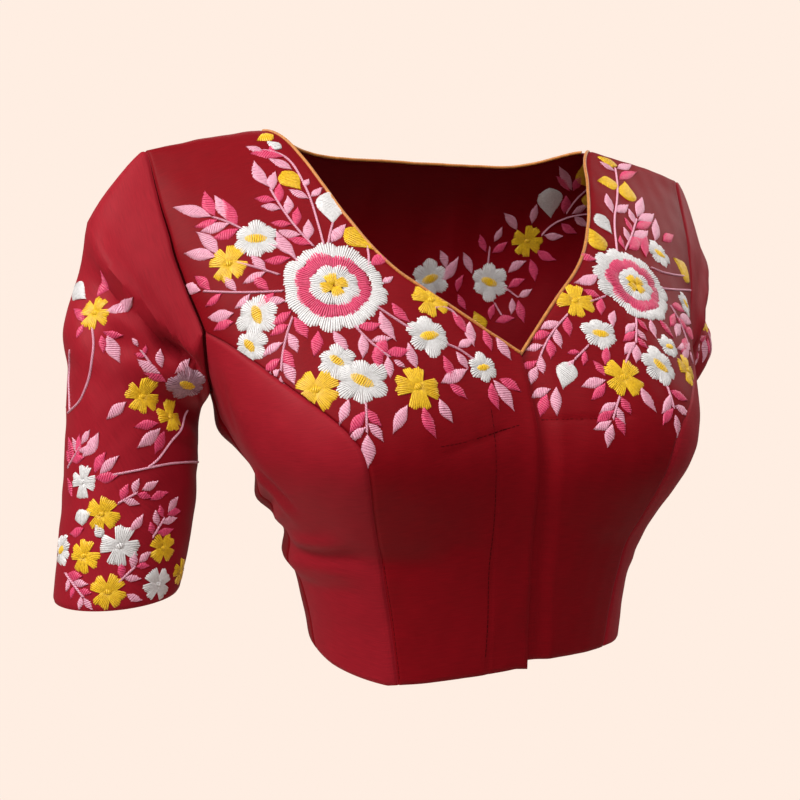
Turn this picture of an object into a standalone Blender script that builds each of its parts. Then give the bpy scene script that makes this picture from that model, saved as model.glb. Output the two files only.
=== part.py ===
"""Choli blouse, filled out as if worn: princess fronts, one-piece back, elbow sleeves and neck piping.

Metres, +Z up. The wearer faces -Y, so their left is +X. The origin lies midway between the two points
where the shoulder seams meet the neck, which is where the shoulders carry the blouse.

Every body panel is cut from one form. A point of the form has an angle, 0 at the centre front, 90 degrees
at the wearer's left side and 180 at the centre back, and a level, 0 at the lowest section and one more
for each section above it, up to the shoulder ridge, where front and back meet.
"""

import math

import bmesh
import bpy
import numpy as np

COLLECTION = "choli_blouse"

# Cloth and seams
WALL = 0.0012
SEAM_GAP = 0.0003
OVERLAP_WIDTH = 0.026
TUCK_DEPTH = 0.0028
TUCK_MARGIN = 0.005
TUCK_RUN = 0.012
PIPING_RADIUS = 0.0011
PIPING_END_CLEAR = 0.006
PIPING_SHOULDER_CLEAR = 0.0015

# Main sizes
SHOULDER_POINT_X = 0.2015
NECK_POINT_X = 0.123
NECK_DEPTH_FRONT = 0.143
NECK_DEPTH_BACK = 0.009
OVERLAP_EDGE_X = 0.008
UNDERARM_HEIGHT = -0.172

# The form, from the lowest section up to the shoulder ridge
SECTION_COLUMNS = (
    "height", "half_width", "front_depth", "back_depth", "centre_y", "squareness", "side_drop",
)
SECTIONS = {
    "hem": (-0.345, 0.104, 0.075, 0.096, -0.068, 0.02, 0.000),
    "waist": (-0.315, 0.108, 0.082, 0.095, -0.062, 0.02, 0.000),
    "ribs": (-0.280, 0.116, 0.090, 0.096, -0.054, 0.02, 0.000),
    "under_bust": (-0.240, 0.132, 0.094, 0.096, -0.046, 0.02, 0.000),
    "bust": (-0.200, 0.153, 0.098, 0.100, -0.037, 0.03, 0.000),
    "armpit": (-0.160, 0.169, 0.093, 0.103, -0.029, 0.03, 0.002),
    "chest": (-0.100, 0.191, 0.077, 0.098, -0.016, 0.03, 0.008),
    "yoke": (-0.040, 0.205, 0.052, 0.071, -0.004, 0.03, 0.022),
    "shoulder": (-0.003, 0.208, 0.023, 0.030, 0.000, 0.02, 0.029),
    "ridge": (0.011, 0.208, 0.000, 0.000, 0.000, 0.02, 0.030),
}
DEPTH_COLUMNS = ("front_depth", "back_depth")
RIDGE = len(SECTIONS) - 1.0
ARMPIT_HALF_WIDTH = SECTIONS["armpit"][1]
MIRRORED_SECTIONS = 3

# The bust shaping that the princess seams and darts give
CUP_X = 0.094
CUP_HEIGHT = -0.202
CUP_RISE = 0.032
CUP_SPREAD = 0.44
CUP_BRIDGE = 0.020
CUP_REACH = {"to_centre": 0.086, "to_side": 0.075, "up": 0.100, "down": 0.055}
CUP_FADE_TO_SIDE = 2.2
CUP_FADE_LEVELS = 1.5

# Hem heights round the body, front centre to back centre
HEM_COLUMNS = ("angle_degrees", "right_height", "left_height")
HEM = (
    (0.0, -0.3370, -0.3330),
    (22.0, -0.3410, -0.3335),
    (45.0, -0.3455, -0.3345),
    (90.0, -0.3360, -0.3390),
    (135.0, -0.3295, -0.3310),
    (180.0, -0.3290, -0.3290),
)

# Seam lines as cut, x measured across the panel from the centre
PRINCESS_FOOT = (0.071, -0.341)
PRINCESS_TOP = (0.172, -0.133)
PRINCESS_SEAM = ((0.078, -0.290), (0.085, -0.235), (0.095, -0.190), (0.146, -0.150), PRINCESS_TOP)
FRONT_ARMHOLE = (PRINCESS_TOP, (0.187, -0.090), (0.194, -0.058))
BACK_ARMHOLE = ((0.183, -0.120), (0.190, -0.080), (0.1955, -0.050))
UNDERARM_CURVE_ANGLE = 84.0
UNDERARM_CURVE_DROP = 0.006
FRONT_NECK_SHAPE = ((0.66, 0.36), (0.33, 0.70))
FRONT_NECK_SAG = 0.0045
BACK_NECK_SHAPE = ((0.72, 0.75), (0.30, 1.00))

# Largest folds of the body: a soft ridge (or trough, where the rise is negative) along a short line
FOLD_COLUMNS = ("side", "angle_degrees", "height", "slope_degrees", "half_length", "half_width", "rise")
BODY_FOLD_RADIUS = 0.13
BODY_FOLDS = (
    ("right", 112.0, -0.201, -12.0, 0.046, 0.011, 0.0060),
    ("right", 106.0, -0.222, 6.0, 0.040, 0.009, -0.0030),
    ("right", 110.0, -0.243, -8.0, 0.044, 0.009, 0.0055),
    ("right", 104.0, -0.262, 4.0, 0.050, 0.009, -0.0028),
    ("right", 98.0, -0.279, 3.0, 0.060, 0.007, 0.0040),
    ("left", 110.0, -0.205, 10.0, 0.044, 0.011, 0.0050),
    ("left", 103.0, -0.228, -6.0, 0.042, 0.010, -0.0028),
    ("left", 112.0, -0.250, 8.0, 0.046, 0.009, 0.0048),
    ("left", 99.0, -0.277, -4.0, 0.050, 0.008, 0.0034),
    ("right", 152.0, -0.270, 14.0, 0.050, 0.012, 0.0030),
    ("left", 150.0, -0.262, -12.0, 0.055, 0.012, 0.0032),
    ("right", 168.0, -0.236, 4.0, 0.060, 0.012, -0.0026),
)

# Sleeve rings below the armhole; the right sleeve hangs and the left one is drawn back behind the body
SLEEVE_COLUMNS = (
    "outer_height", "inner_height", "front_drop", "centre_x", "centre_y", "half_width", "half_depth",
)
SLEEVE_RINGS = {
    "right": (
        (-0.118, -0.188, 0.000, 0.2085, -0.0010, 0.0412, 0.0470),
        (-0.160, -0.208, 0.000, 0.2105, -0.0055, 0.0410, 0.0465),
        (-0.205, -0.232, 0.000, 0.2125, -0.0110, 0.0415, 0.0455),
        (-0.250, -0.264, 0.000, 0.2170, -0.0170, 0.0405, 0.0440),
        (-0.302, -0.298, 0.000, 0.2245, -0.0250, 0.0390, 0.0425),
    ),
    "left": (
        (-0.112, -0.184, 0.012, 0.2060, 0.0200, 0.0412, 0.0455),
        (-0.152, -0.204, 0.017, 0.2000, 0.0380, 0.0410, 0.0435),
        (-0.195, -0.226, 0.019, 0.1930, 0.0570, 0.0413, 0.0420),
        (-0.238, -0.256, 0.019, 0.1860, 0.0750, 0.0405, 0.0405),
        (-0.288, -0.288, 0.018, 0.1780, 0.0940, 0.0390, 0.0390),
    ),
}
CAP_LEAN = {"right": 0.000, "left": 0.016}
CAP_OUTWARD = 0.055
CAP_DOWNWARD = 0.036
CAP_FORWARD_SHARE = 0.3
CAP_FULL_REACH = 0.06
UNDERARM_PULL = 0.30

# Folds of the sleeve, in the same columns; the angle is 0 outside, 90 in front and 180 next to the body
SLEEVE_FOLD_RADIUS = 0.044
SLEEVE_FOLD_FADE = {"armhole": 0.8, "hem": 0.6}
SLEEVE_FOLDS = (
    ("both", 62.0, -0.112, -50.0, 0.060, 0.010, 0.0048),
    ("both", 58.0, -0.134, -48.0, 0.052, 0.011, -0.0042),
    ("both", 112.0, -0.160, -28.0, 0.034, 0.008, 0.0036),
    ("both", 118.0, -0.180, -24.0, 0.034, 0.008, -0.0030),
    ("both", 262.0, -0.118, 46.0, 0.050, 0.011, 0.0040),
    ("both", 250.0, -0.145, 42.0, 0.046, 0.010, -0.0034),
)

# Mesh fineness
LOW_ROWS = 18
HIGH_ROWS = 12
FRONT_COLUMNS = 9
UNDERLAP_COLUMNS = 3
SIDE_COLUMNS = 6
BACK_NECK_COLUMNS = 10
SLEEVE_STEPS = 18
PIPING_SIDES = 6
SHARP_DEGREES = 50.0

# Finishes: colour, roughness
CLOTH_RED = (0.245, 0.008, 0.017)
CLOTH_ROUGHNESS = 0.62
PIPING_GOLD = (0.49, 0.17, 0.025)
PIPING_ROUGHNESS = 0.55


def unit(vectors):
    """Vectors of length one, along the last axis."""
    return vectors / np.maximum(np.linalg.norm(vectors, axis=-1, keepdims=True), 1e-12)


def ease(value):
    """0 below 0, 1 above 1 and a smooth step between."""
    value = np.clip(value, 0.0, 1.0)
    return value * value * (3.0 - 2.0 * value)


def spline(knots, at):
    """A natural cubic spline through evenly numbered rows, read at any row number."""
    knots = np.asarray(knots, float)
    count = len(knots)
    system = np.eye(count) * 4.0
    system[0, 0] = system[-1, -1] = 1.0
    pull = np.zeros_like(knots)
    for i in range(1, count - 1):
        system[i, i - 1] = system[i, i + 1] = 1.0
        pull[i] = 6.0 * (knots[i - 1] - 2.0 * knots[i] + knots[i + 1])
    bend = np.linalg.solve(system, pull)
    at = np.asarray(at, float)
    first = np.clip(np.floor(at).astype(int), 0, count - 2)
    share = (at - first)[..., None]
    rest = 1.0 - share
    return (
        rest * knots[first] + share * knots[first + 1]
        + (rest**3 - rest) * bend[first] / 6.0 + (share**3 - share) * bend[first + 1] / 6.0
    )


def section_rows():
    """The sections, and a few mirrored ones beyond the ridge, so that the shoulder rounds over."""
    rows = [list(row) for row in SECTIONS.values()]
    for row in reversed(rows[-1 - MIRRORED_SECTIONS : -1]):
        signs = [-1.0 if name in DEPTH_COLUMNS else 1.0 for name in SECTION_COLUMNS]
        rows.append([value * sign for value, sign in zip(row, signs)])
    return np.array(rows)


SECTION_ROWS = section_rows()


def section(level):
    """The section's sizes at a level, by column name."""
    values = spline(SECTION_ROWS, level)
    return {name: values[..., i] for i, name in enumerate(SECTION_COLUMNS)}


def squared(angle, squareness):
    """Sine and cosine of an angle, pushed out towards a rounded rectangle."""
    across = (np.sin(angle) + squareness * np.sin(3 * angle)) / (1 - squareness)
    along = (np.cos(angle) - squareness * np.cos(3 * angle)) / (1 - squareness)
    return across, along


def cup(x, z):
    """How far the bust shaping stands out at a place on the front."""
    x = np.hypot(x, CUP_BRIDGE)
    beside = np.where(x < CUP_X, CUP_REACH["to_centre"], CUP_REACH["to_side"])
    above = np.where(z > CUP_HEIGHT, CUP_REACH["up"], CUP_REACH["down"])
    return CUP_RISE * np.exp(-(((x - CUP_X) / beside) ** 2) - ((z - CUP_HEIGHT) / above) ** 2)


def smooth_form(angle, level):
    """The form without its folds."""
    angle, level = np.broadcast_arrays(np.asarray(angle, float), np.asarray(level, float))
    cut = section(level)
    across, along = squared(angle, cut["squareness"])
    x = cut["half_width"] * across
    z = cut["height"] - cut["side_drop"] * across**2
    depth = np.where(along > 0, cut["front_depth"], cut["back_depth"])
    y = cut["centre_y"] - depth * along
    rise = cup(np.abs(x), z) * ease(CUP_FADE_TO_SIDE * along) * ease((RIDGE - level) / CUP_FADE_LEVELS)
    outward = CUP_SPREAD * np.clip(np.abs(x) / CUP_X, 0, 1)
    return np.stack([x + np.sign(across) * rise * outward, y - rise, z], axis=-1)


def form_normal(angle, level):
    """The outward direction of the form."""
    step = 0.01
    round_it = smooth_form(angle + step, level) - smooth_form(angle - step, level)
    up_it = smooth_form(angle, level + step) - smooth_form(angle, level - step)
    return unit(np.cross(round_it, up_it))


def fold_rise(folds, side, angle_degrees, height, radius):
    """The sum of a table's folds at a place, each a soft ridge that fades along its line and across it."""
    total = np.zeros(np.shape(height))
    for row in folds:
        fold = dict(zip(FOLD_COLUMNS, row))
        if fold["side"] not in (side, "both"):
            continue
        right = radius * np.radians(angle_degrees - fold["angle_degrees"])
        up = height - fold["height"]
        slope = math.radians(fold["slope_degrees"])
        along = (right * math.cos(slope) + up * math.sin(slope)) / fold["half_length"]
        beside = (up * math.cos(slope) - right * math.sin(slope)) / fold["half_width"]
        total += fold["rise"] * np.exp(-(along**4) - beside**2)
    return total


def form(angle, level):
    """A point of the blouse's outer surface."""
    point = smooth_form(angle, level)
    turned = np.degrees(np.mod(angle, 2 * math.pi))
    left = turned <= 180.0
    from_front = np.where(left, turned, 360.0 - turned)
    lift = np.where(
        left,
        fold_rise(BODY_FOLDS, "left", from_front, point[..., 2], BODY_FOLD_RADIUS),
        fold_rise(BODY_FOLDS, "right", from_front, point[..., 2], BODY_FOLD_RADIUS),
    )
    return point + form_normal(angle, level) * lift[..., None]


def bisect(low, high, too_low, rounds=40):
    """Narrows a range of values to where too_low turns false."""
    for _ in range(rounds):
        middle = (low + high) / 2
        below = too_low(middle)
        low = np.where(below, middle, low)
        high = np.where(below, high, middle)
    return (low + high) / 2


def level_at(x, z):
    """The level at which the form has height z, at a distance x from the centre plane."""

    def too_low(level):
        cut = section(level)
        return cut["height"] - cut["side_drop"] * np.minimum((x / cut["half_width"]) ** 2, 1) < z

    low = np.full(np.shape(z), -1.0)
    return bisect(low, np.full(np.shape(z), RIDGE), too_low)


def place(x, z=None, back=False):
    """Angle and level of a point given by its distance from the centre and its height, or on the ridge."""
    x = np.asarray(x, float)
    level = np.full(x.shape, RIDGE) if z is None else level_at(x, np.asarray(z, float))
    cut = section(level)
    share = np.clip(x / cut["half_width"], 0, 1)
    angle = bisect(
        np.zeros(x.shape), np.full(x.shape, math.pi / 2),
        lambda turn: squared(turn, cut["squareness"])[0] < share,
    )
    return np.stack([math.pi - angle if back else angle, level], axis=-1)


def hem_height(angle, side):
    """Height of the hem at an angle from the centre front, on the right or the left."""
    table = np.array(HEM)
    return np.interp(np.degrees(angle), table[:, 0], table[:, HEM_COLUMNS.index(side + "_height")])


def hem_place(angle, side):
    """Angle and level of the hem at an angle on the wearer's left."""
    angle = np.asarray(angle, float)
    level = level_at(0.0, hem_height(angle, side))
    return np.stack([angle, level], axis=-1)


def even_line(points, count):
    """The places of a smooth line through points, evenly spaced along it."""
    points = np.asarray(points, float)
    fine = spline(points, np.linspace(0, len(points) - 1, 30 * len(points)))
    steps = np.linalg.norm(np.diff(smooth_form(fine[:, 0], fine[:, 1]), axis=0), axis=1)
    run = np.concatenate([[0.0], np.cumsum(steps)])
    want = np.linspace(0, run[-1], count + 1)
    return np.stack([np.interp(want, run, fine[:, i]) for i in (0, 1)], axis=-1)


def front_armhole_line():
    """The upper front armhole, from the princess seam up to the shoulder point."""
    rows = [place(x, z) for x, z in FRONT_ARMHOLE] + [place(SHOULDER_POINT_X)]
    return even_line(rows, HIGH_ROWS)


def moved(places, distance):
    """A line of places moved across itself over the surface, to its right as seen from outside."""
    angle, level = places[:, 0], places[:, 1]
    step = 1e-3
    round_it = (smooth_form(angle + step, level) - smooth_form(angle - step, level)) / (2 * step)
    up_it = (smooth_form(angle, level + step) - smooth_form(angle, level - step)) / (2 * step)
    along = unit(np.gradient(smooth_form(angle, level), axis=0))
    shift = unit(np.cross(along, form_normal(angle, level))) * distance
    frame = np.stack([round_it, up_it], axis=-1)
    return places + np.array([np.linalg.lstsq(f, d, rcond=None)[0] for f, d in zip(frame, shift)])


def princess_line(side):
    """From the hem up to the armhole."""
    foot_angle = place(*PRINCESS_FOOT)[0]
    rows = [hem_place(foot_angle, side)] + [place(x, z) for x, z in PRINCESS_SEAM]
    return even_line(rows, LOW_ROWS)


def side_line(side):
    """From the hem up to the underarm, at the side."""
    quarter = math.pi / 2
    foot = hem_place(quarter, side)
    top = level_at(ARMPIT_HALF_WIDTH, UNDERARM_HEIGHT)
    return even_line([(quarter, foot[1]), (quarter, (foot[1] + top) / 2), (quarter, top)], LOW_ROWS)


def underarm_line(side):
    """The lower armhole, from the princess seam to the underarm."""
    start = place(*PRINCESS_TOP)
    end = side_line(side)[-1]
    bend = math.radians(UNDERARM_CURVE_ANGLE)
    middle = (bend, level_at(ARMPIT_HALF_WIDTH, UNDERARM_HEIGHT + UNDERARM_CURVE_DROP))
    return even_line([start, middle, end], SIDE_COLUMNS)


def back_armhole_line(side):
    """The back armhole, from the underarm up to the shoulder point."""
    end = side_line(side)[-1]
    bend = math.pi - math.radians(UNDERARM_CURVE_ANGLE)
    low = (bend, level_at(ARMPIT_HALF_WIDTH, UNDERARM_HEIGHT + UNDERARM_CURVE_DROP))
    rows = [end, low] + [place(x, z, back=True) for x, z in BACK_ARMHOLE]
    rows.append(place(SHOULDER_POINT_X, back=True))
    return even_line(rows, HIGH_ROWS)


def front_neck_rows():
    """The neckline's points from the lowest one up to the neck point, x and height."""
    sag = FRONT_NECK_SAG
    rows = [(OVERLAP_EDGE_X, -NECK_DEPTH_FRONT)]
    for width_share, depth_share in reversed(FRONT_NECK_SHAPE):
        rows.append((NECK_POINT_X * width_share + sag, -NECK_DEPTH_FRONT * depth_share - sag))
    rows.append((NECK_POINT_X, None))
    return rows


def centre_line(side):
    """The overlap edge and the neckline of a front: two runs of places, from the hem to the neck point."""
    neck = front_neck_rows()
    if side == "right":
        edge_x, edge_top = -OVERLAP_EDGE_X, -NECK_DEPTH_FRONT
        neck[0] = (edge_x, edge_top)
    else:
        slope = (neck[1][1] - neck[0][1]) / (neck[1][0] - neck[0][0])
        edge_x = OVERLAP_EDGE_X - OVERLAP_WIDTH
        edge_top = -NECK_DEPTH_FRONT + slope * (edge_x - OVERLAP_EDGE_X)
        neck.insert(0, (edge_x, edge_top))
    hem = hem_height(0.0, side)
    low = []
    for height in (hem, (hem + edge_top) / 2, edge_top):
        angle, level = place(abs(edge_x), height)
        low.append((math.copysign(angle, edge_x), level))
    high = []
    for x, z in neck:
        angle, level = place(abs(x), z)
        high.append((math.copysign(angle, x), level))
    return even_line(low, LOW_ROWS), even_line(high, HIGH_ROWS)


def patch(inner, outer, bottom, top, shares=None):
    """Places inside four edges: inner and outer run upwards, bottom and top from inner to outer.

    The shares say how far across each row its columns stand, where they aren't even.
    """
    even = np.linspace(0, 1, len(bottom))
    u = np.broadcast_to(even if shares is None else shares, (len(inner), len(even)))[..., None]
    v = np.linspace(0, 1, len(inner))[:, None, None]
    low = np.stack([np.interp(u[..., 0], even, bottom[:, i]) for i in (0, 1)], axis=-1)
    high = np.stack([np.interp(u[..., 0], even, top[:, i]) for i in (0, 1)], axis=-1)
    ruled = (1 - u) * inner[:, None] + u * outer[:, None] + (1 - v) * low + v * high
    corners = (
        (1 - u) * (1 - v) * inner[0] + u * (1 - v) * outer[0]
        + (1 - u) * v * inner[-1] + u * v * outer[-1]
    )
    return ruled - corners


def pulled_in(points, first_gap, last_gap, axis):
    """Moves a grid's first and last row towards the row inside it, by a gap measured square to the edge."""
    points = np.moveaxis(points, axis, 0).copy()
    for edge, inside, gap in ((0, 1, first_gap), (-1, -2, last_gap)):
        towards = unit(points[inside] - points[edge])
        along = unit(np.gradient(points[edge], axis=0))
        square = np.sqrt(np.maximum(1 - (towards * along).sum(axis=1) ** 2, 0.1))
        points[edge] += towards * (np.asarray(gap) / square)[:, None]
    return np.moveaxis(points, 0, axis)


def split_quad(mesh, a, b, c, d):
    """Two triangles between four corners, split along the shorter diagonal."""
    if (a.co - c.co).length <= (b.co - d.co).length:
        corners = ((a, b, c), (a, c, d))
    else:
        corners = ((a, b, d), (b, c, d))
    for triangle in corners:
        mesh.faces.new(triangle)


def wall(name, outside, inside, material, closed=False):
    """A closed sheet between two grids of points. A closed one goes round along its second axis."""
    rows, columns = outside.shape[:2]
    mesh = bmesh.new()
    outer = [[mesh.verts.new(p) for p in row] for row in outside.tolist()]
    inner = [[mesh.verts.new(p) for p in row] for row in inside.tolist()]
    last = columns if closed else columns - 1
    for i in range(rows - 1):
        for j in range(last):
            k = (j + 1) % columns
            split_quad(mesh, outer[i][j], outer[i][k], outer[i + 1][k], outer[i + 1][j])
            split_quad(mesh, inner[i][j], inner[i + 1][j], inner[i + 1][k], inner[i][k])
    for j in range(last):
        k = (j + 1) % columns
        mesh.faces.new((outer[0][j], inner[0][j], inner[0][k], outer[0][k]))
        mesh.faces.new((outer[-1][j], outer[-1][k], inner[-1][k], inner[-1][j]))
    if not closed:
        for i in range(rows - 1):
            mesh.faces.new((outer[i][0], outer[i + 1][0], inner[i + 1][0], inner[i][0]))
            mesh.faces.new((outer[i][-1], inner[i][-1], inner[i + 1][-1], outer[i + 1][-1]))
    bmesh.ops.recalc_face_normals(mesh, faces=mesh.faces)
    if mesh.calc_volume(signed=True) < 0:
        bmesh.ops.reverse_faces(mesh, faces=mesh.faces)
    keep(name, mesh, material)


def keep(name, mesh, material):
    """Makes an object of a bmesh, in the blouse's collection."""
    data = bpy.data.meshes.new(name)
    mesh.to_mesh(data)
    mesh.free()
    data.materials.append(material)
    data.shade_smooth()
    data.set_sharp_from_angle(angle=math.radians(SHARP_DEGREES))
    bpy.data.collections[COLLECTION].objects.link(bpy.data.objects.new(name, data))


def finish(name, colour, roughness):
    """A Principled material."""
    material = bpy.data.materials.new(name)
    material.use_nodes = True
    shader = material.node_tree.nodes["Principled BSDF"]
    shader.inputs["Base Color"].default_value = (*colour, 1.0)
    shader.inputs["Roughness"].default_value = roughness
    shader.inputs["Metallic"].default_value = 0.0
    return material


def side_of(points, side):
    """Points worked out on the wearer's left, mirrored where the piece is on the right."""
    return points * np.array([1.0 if side == "left" else -1.0, 1.0, 1.0])


def surface(places, side):
    """Outer points and outward directions of a left-hand grid of places, on either side of the body."""
    angle, level = places[..., 0], places[..., 1]
    if side == "left":
        return form(angle, level), form_normal(angle, level)
    return form(-angle, level), form_normal(-angle, level)


def underlap_shares(inner, outer):
    """Shares across the left front that give its hidden extension columns of its own."""
    edge = [place(OVERLAP_EDGE_X + TUCK_MARGIN, smooth_form(*row)[2])[0] for row in inner[: LOW_ROWS + 1]]
    start, end = inner[: LOW_ROWS + 1, 0], outer[: LOW_ROWS + 1, 0]
    width = (np.array(edge) - start) / (end - start)
    count = UNDERLAP_COLUMNS + FRONT_COLUMNS
    upwards = np.linspace(0, 1, HIGH_ROWS + 1)[1:]
    width = np.concatenate([width, width[-1] + upwards * (UNDERLAP_COLUMNS / count - width[-1])])[:, None]
    extension = np.linspace(0, 1, UNDERLAP_COLUMNS + 1)[:-1]
    visible = np.linspace(0, 1, FRONT_COLUMNS + 1)
    return np.concatenate([width * extension, width + (1 - width) * visible], axis=1)


def front_centre(side, material):
    """The centre panel of one front; on the left it runs on under the right one."""
    low, high = centre_line(side)
    inner = np.concatenate([low, high[1:]])
    armhole = front_armhole_line()
    outer = np.concatenate([princess_line(side), armhole[1:]])
    shares = underlap_shares(inner, outer) if side == "left" else None
    columns = FRONT_COLUMNS + (UNDERLAP_COLUMNS if side == "left" else 0)
    share = np.linspace(0, 1, columns + 1)
    bottom_angle = inner[0, 0] + share * (outer[0, 0] - inner[0, 0])
    bottom = np.stack([bottom_angle, hem_place(np.abs(bottom_angle), side)[:, 1]], axis=-1)
    top = inner[-1] + share[:, None] * (outer[-1] - inner[-1])
    points, outward = surface(patch(inner, outer, bottom, top, shares), side)
    if side == "left":
        tuck = TUCK_DEPTH * (1 - ease((points[..., 0] - OVERLAP_EDGE_X - TUCK_MARGIN) / TUCK_RUN))
        points = points - outward * tuck[..., None]
    neck_gap = 2 * PIPING_RADIUS + SEAM_GAP
    inner_gap = np.concatenate([np.zeros(LOW_ROWS), np.full(HIGH_ROWS + 1, neck_gap)])
    points = pulled_in(points, inner_gap, SEAM_GAP / 2, axis=1)
    points = pulled_in(points, 0.0, SEAM_GAP / 2, axis=0)
    wall(f"front_{side}_centre", points, points - outward * WALL, material)


def front_side(side, material):
    """The side panel of one front, from the princess seam to the side seam."""
    inner = princess_line(side)
    outer = side_line(side)
    share = np.linspace(0, 1, SIDE_COLUMNS + 1)
    bottom = hem_place(inner[0, 0] + share * (outer[0, 0] - inner[0, 0]), side)
    points, outward = surface(patch(inner, outer, bottom, underarm_line(side)), side)
    points = pulled_in(points, SEAM_GAP / 2, SEAM_GAP / 2, axis=1)
    points = pulled_in(points, 0.0, SEAM_GAP / 2, axis=0)
    wall(f"front_{side}_side", points, points - outward * WALL, material)


def back_neck_line(margin):
    """The back neckline from one neck point to the other, moved into the back by a margin."""
    rows = [place(NECK_POINT_X, back=True)]
    for width_share, depth_share in BACK_NECK_SHAPE:
        rows.append(place(NECK_POINT_X * width_share, -NECK_DEPTH_BACK * depth_share, back=True))
    rows.append(place(0.0, -NECK_DEPTH_BACK, back=True))
    rows += [(2 * math.pi - angle, level) for angle, level in reversed(rows[:-1])]
    line = moved(even_line(rows, BACK_NECK_COLUMNS), margin)
    for end, beside in ((0, 1), (-1, -2)):
        beyond = (RIDGE - line[end, 1]) / (line[end, 1] - line[beside, 1])
        line[end] += (line[end] - line[beside]) * beyond
    return line


def mirrored(places):
    """A left-hand line of places, on the right."""
    return np.stack([2 * math.pi - places[:, 0], places[:, 1]], axis=-1)


def back_grid():
    """Places of the whole back, its first column at the wearer's left."""
    left = np.concatenate([side_line("left"), back_armhole_line("left")[1:]])
    right = mirrored(np.concatenate([side_line("right"), back_armhole_line("right")[1:]]))
    neck = back_neck_line(2 * PIPING_RADIUS + SEAM_GAP)
    share = np.linspace(0, 1, FRONT_COLUMNS + 1)[:, None]
    left_shoulder = left[-1] + share * (neck[0] - left[-1])
    right_shoulder = neck[-1] + share * (right[-1] - neck[-1])
    top = np.concatenate([left_shoulder, neck[1:], right_shoulder[1:]])
    angle = np.linspace(math.pi / 2, 3 * math.pi / 2, len(top))
    on_left = angle <= math.pi
    folded = np.where(on_left, angle, 2 * math.pi - angle)
    level = np.where(on_left, hem_place(folded, "left")[:, 1], hem_place(folded, "right")[:, 1])
    return patch(left, right, np.stack([angle, level], axis=-1), top)


def back_panel(material):
    """The back, cut in one piece."""
    places = back_grid()
    points, outward = surface(places, "left")
    top_gap = np.full(places.shape[1], SEAM_GAP / 2)
    top_gap[FRONT_COLUMNS + 1 : -FRONT_COLUMNS - 1] = 0.0
    points = pulled_in(points, SEAM_GAP / 2, SEAM_GAP / 2, axis=1)
    points = pulled_in(points, 0.0, top_gap, axis=0)
    wall("back", points, points - outward * WALL, material)


def armhole_ring(side):
    """The armhole as a ring of places, from the shoulder point down the front, under and up the back."""
    front = front_armhole_line()[::-1]
    under = underarm_line(side)
    back = back_armhole_line(side)
    return np.concatenate([front, under[1:], back[1:-1]])


def sleeve_frame(side):
    """Rings of outer points, the armhole's own first, their angles and the way into the body's panels."""
    places = armhole_ring(side)
    points, outward = surface(places, side)
    points, outward = side_of(points, side), side_of(outward, side)
    along = np.roll(points, -1, axis=0) - np.roll(points, 1, axis=0)
    into_panel = unit(np.cross(along, outward))
    front_count = HIGH_ROWS + SIDE_COLUMNS
    run = np.concatenate([[0.0], np.cumsum(np.linalg.norm(np.diff(points, axis=0), axis=1))])
    front_share = run[: front_count + 1] / run[front_count]
    back_run = run[front_count:] - run[front_count]
    back_total = back_run[-1] + np.linalg.norm(points[0] - points[-1])
    turn = np.concatenate([front_share, 1 + back_run[1:] / back_total]) * math.pi
    rings = [points - into_panel * SEAM_GAP / 2]
    inner_share = (1 - np.cos(turn)) / 2
    for row in SLEEVE_RINGS[side]:
        ring = dict(zip(SLEEVE_COLUMNS, row))
        rings.append(np.stack([
            ring["centre_x"] + ring["half_width"] * np.cos(turn),
            ring["centre_y"] - ring["half_depth"] * np.sin(turn),
            ring["outer_height"] + (ring["inner_height"] - ring["outer_height"]) * inner_share
            - ring["front_drop"] * np.sin(turn),
        ], axis=-1))
    return np.array(rings), turn, into_panel


def sleeve_surface(rings, turn, at, lean):
    """Points of the sleeve at ring numbers between the armhole, 0, and the hem."""
    towards = np.stack([
        CAP_OUTWARD * (UNDERARM_PULL + (1 - UNDERARM_PULL) * (1 + np.cos(turn)) / 2),
        lean - CAP_FORWARD_SHARE * CAP_OUTWARD * np.sin(turn),
        -CAP_DOWNWARD * np.ones(len(turn)),
    ], axis=-1)
    slopes = np.gradient(rings, axis=0)
    reach = np.linalg.norm(rings[1] - rings[0], axis=1)
    slopes[0] = towards * np.minimum(1.0, reach / CAP_FULL_REACH)[:, None]
    first = np.clip(np.floor(at).astype(int), 0, len(rings) - 2)
    s = (at - first)[:, None, None]
    return (
        (2 * s**3 - 3 * s**2 + 1) * rings[first] + (s**3 - 2 * s**2 + s) * slopes[first]
        + (3 * s**2 - 2 * s**3) * rings[first + 1] + (s**3 - s**2) * slopes[first + 1]
    )


def ring_normals(points):
    """Outward directions of a tube's points, from their neighbours."""
    round_it = np.roll(points, -1, axis=1) - np.roll(points, 1, axis=1)
    return unit(np.cross(round_it, np.gradient(points, axis=0)))


def sleeve(side, material):
    """One sleeve from the armhole to the cuff, its folds raised."""
    rings, turn, into_panel = sleeve_frame(side)
    at = np.linspace(0, len(rings) - 1, SLEEVE_STEPS + 1)
    points = sleeve_surface(rings, turn, at, CAP_LEAN[side])
    outward = ring_normals(points)
    height = points[..., 2]
    turned = np.broadcast_to(np.degrees(turn), height.shape)
    lift = fold_rise(SLEEVE_FOLDS, side, turned, height, SLEEVE_FOLD_RADIUS)
    fade = ease(at / SLEEVE_FOLD_FADE["armhole"]) * ease((at[-1] - at) / SLEEVE_FOLD_FADE["hem"])
    points = points + outward * (lift * fade[:, None])[..., None]
    outward = ring_normals(points)
    inward = -outward
    crossing = np.maximum(0.0, (inward[0] * into_panel).sum(axis=1))[:, None]
    inward[0] = unit(inward[0] - crossing * into_panel)
    inside = points + inward * WALL
    wall(f"sleeve_{side}", side_of(points, side), side_of(inside, side), material, closed=True)


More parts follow.
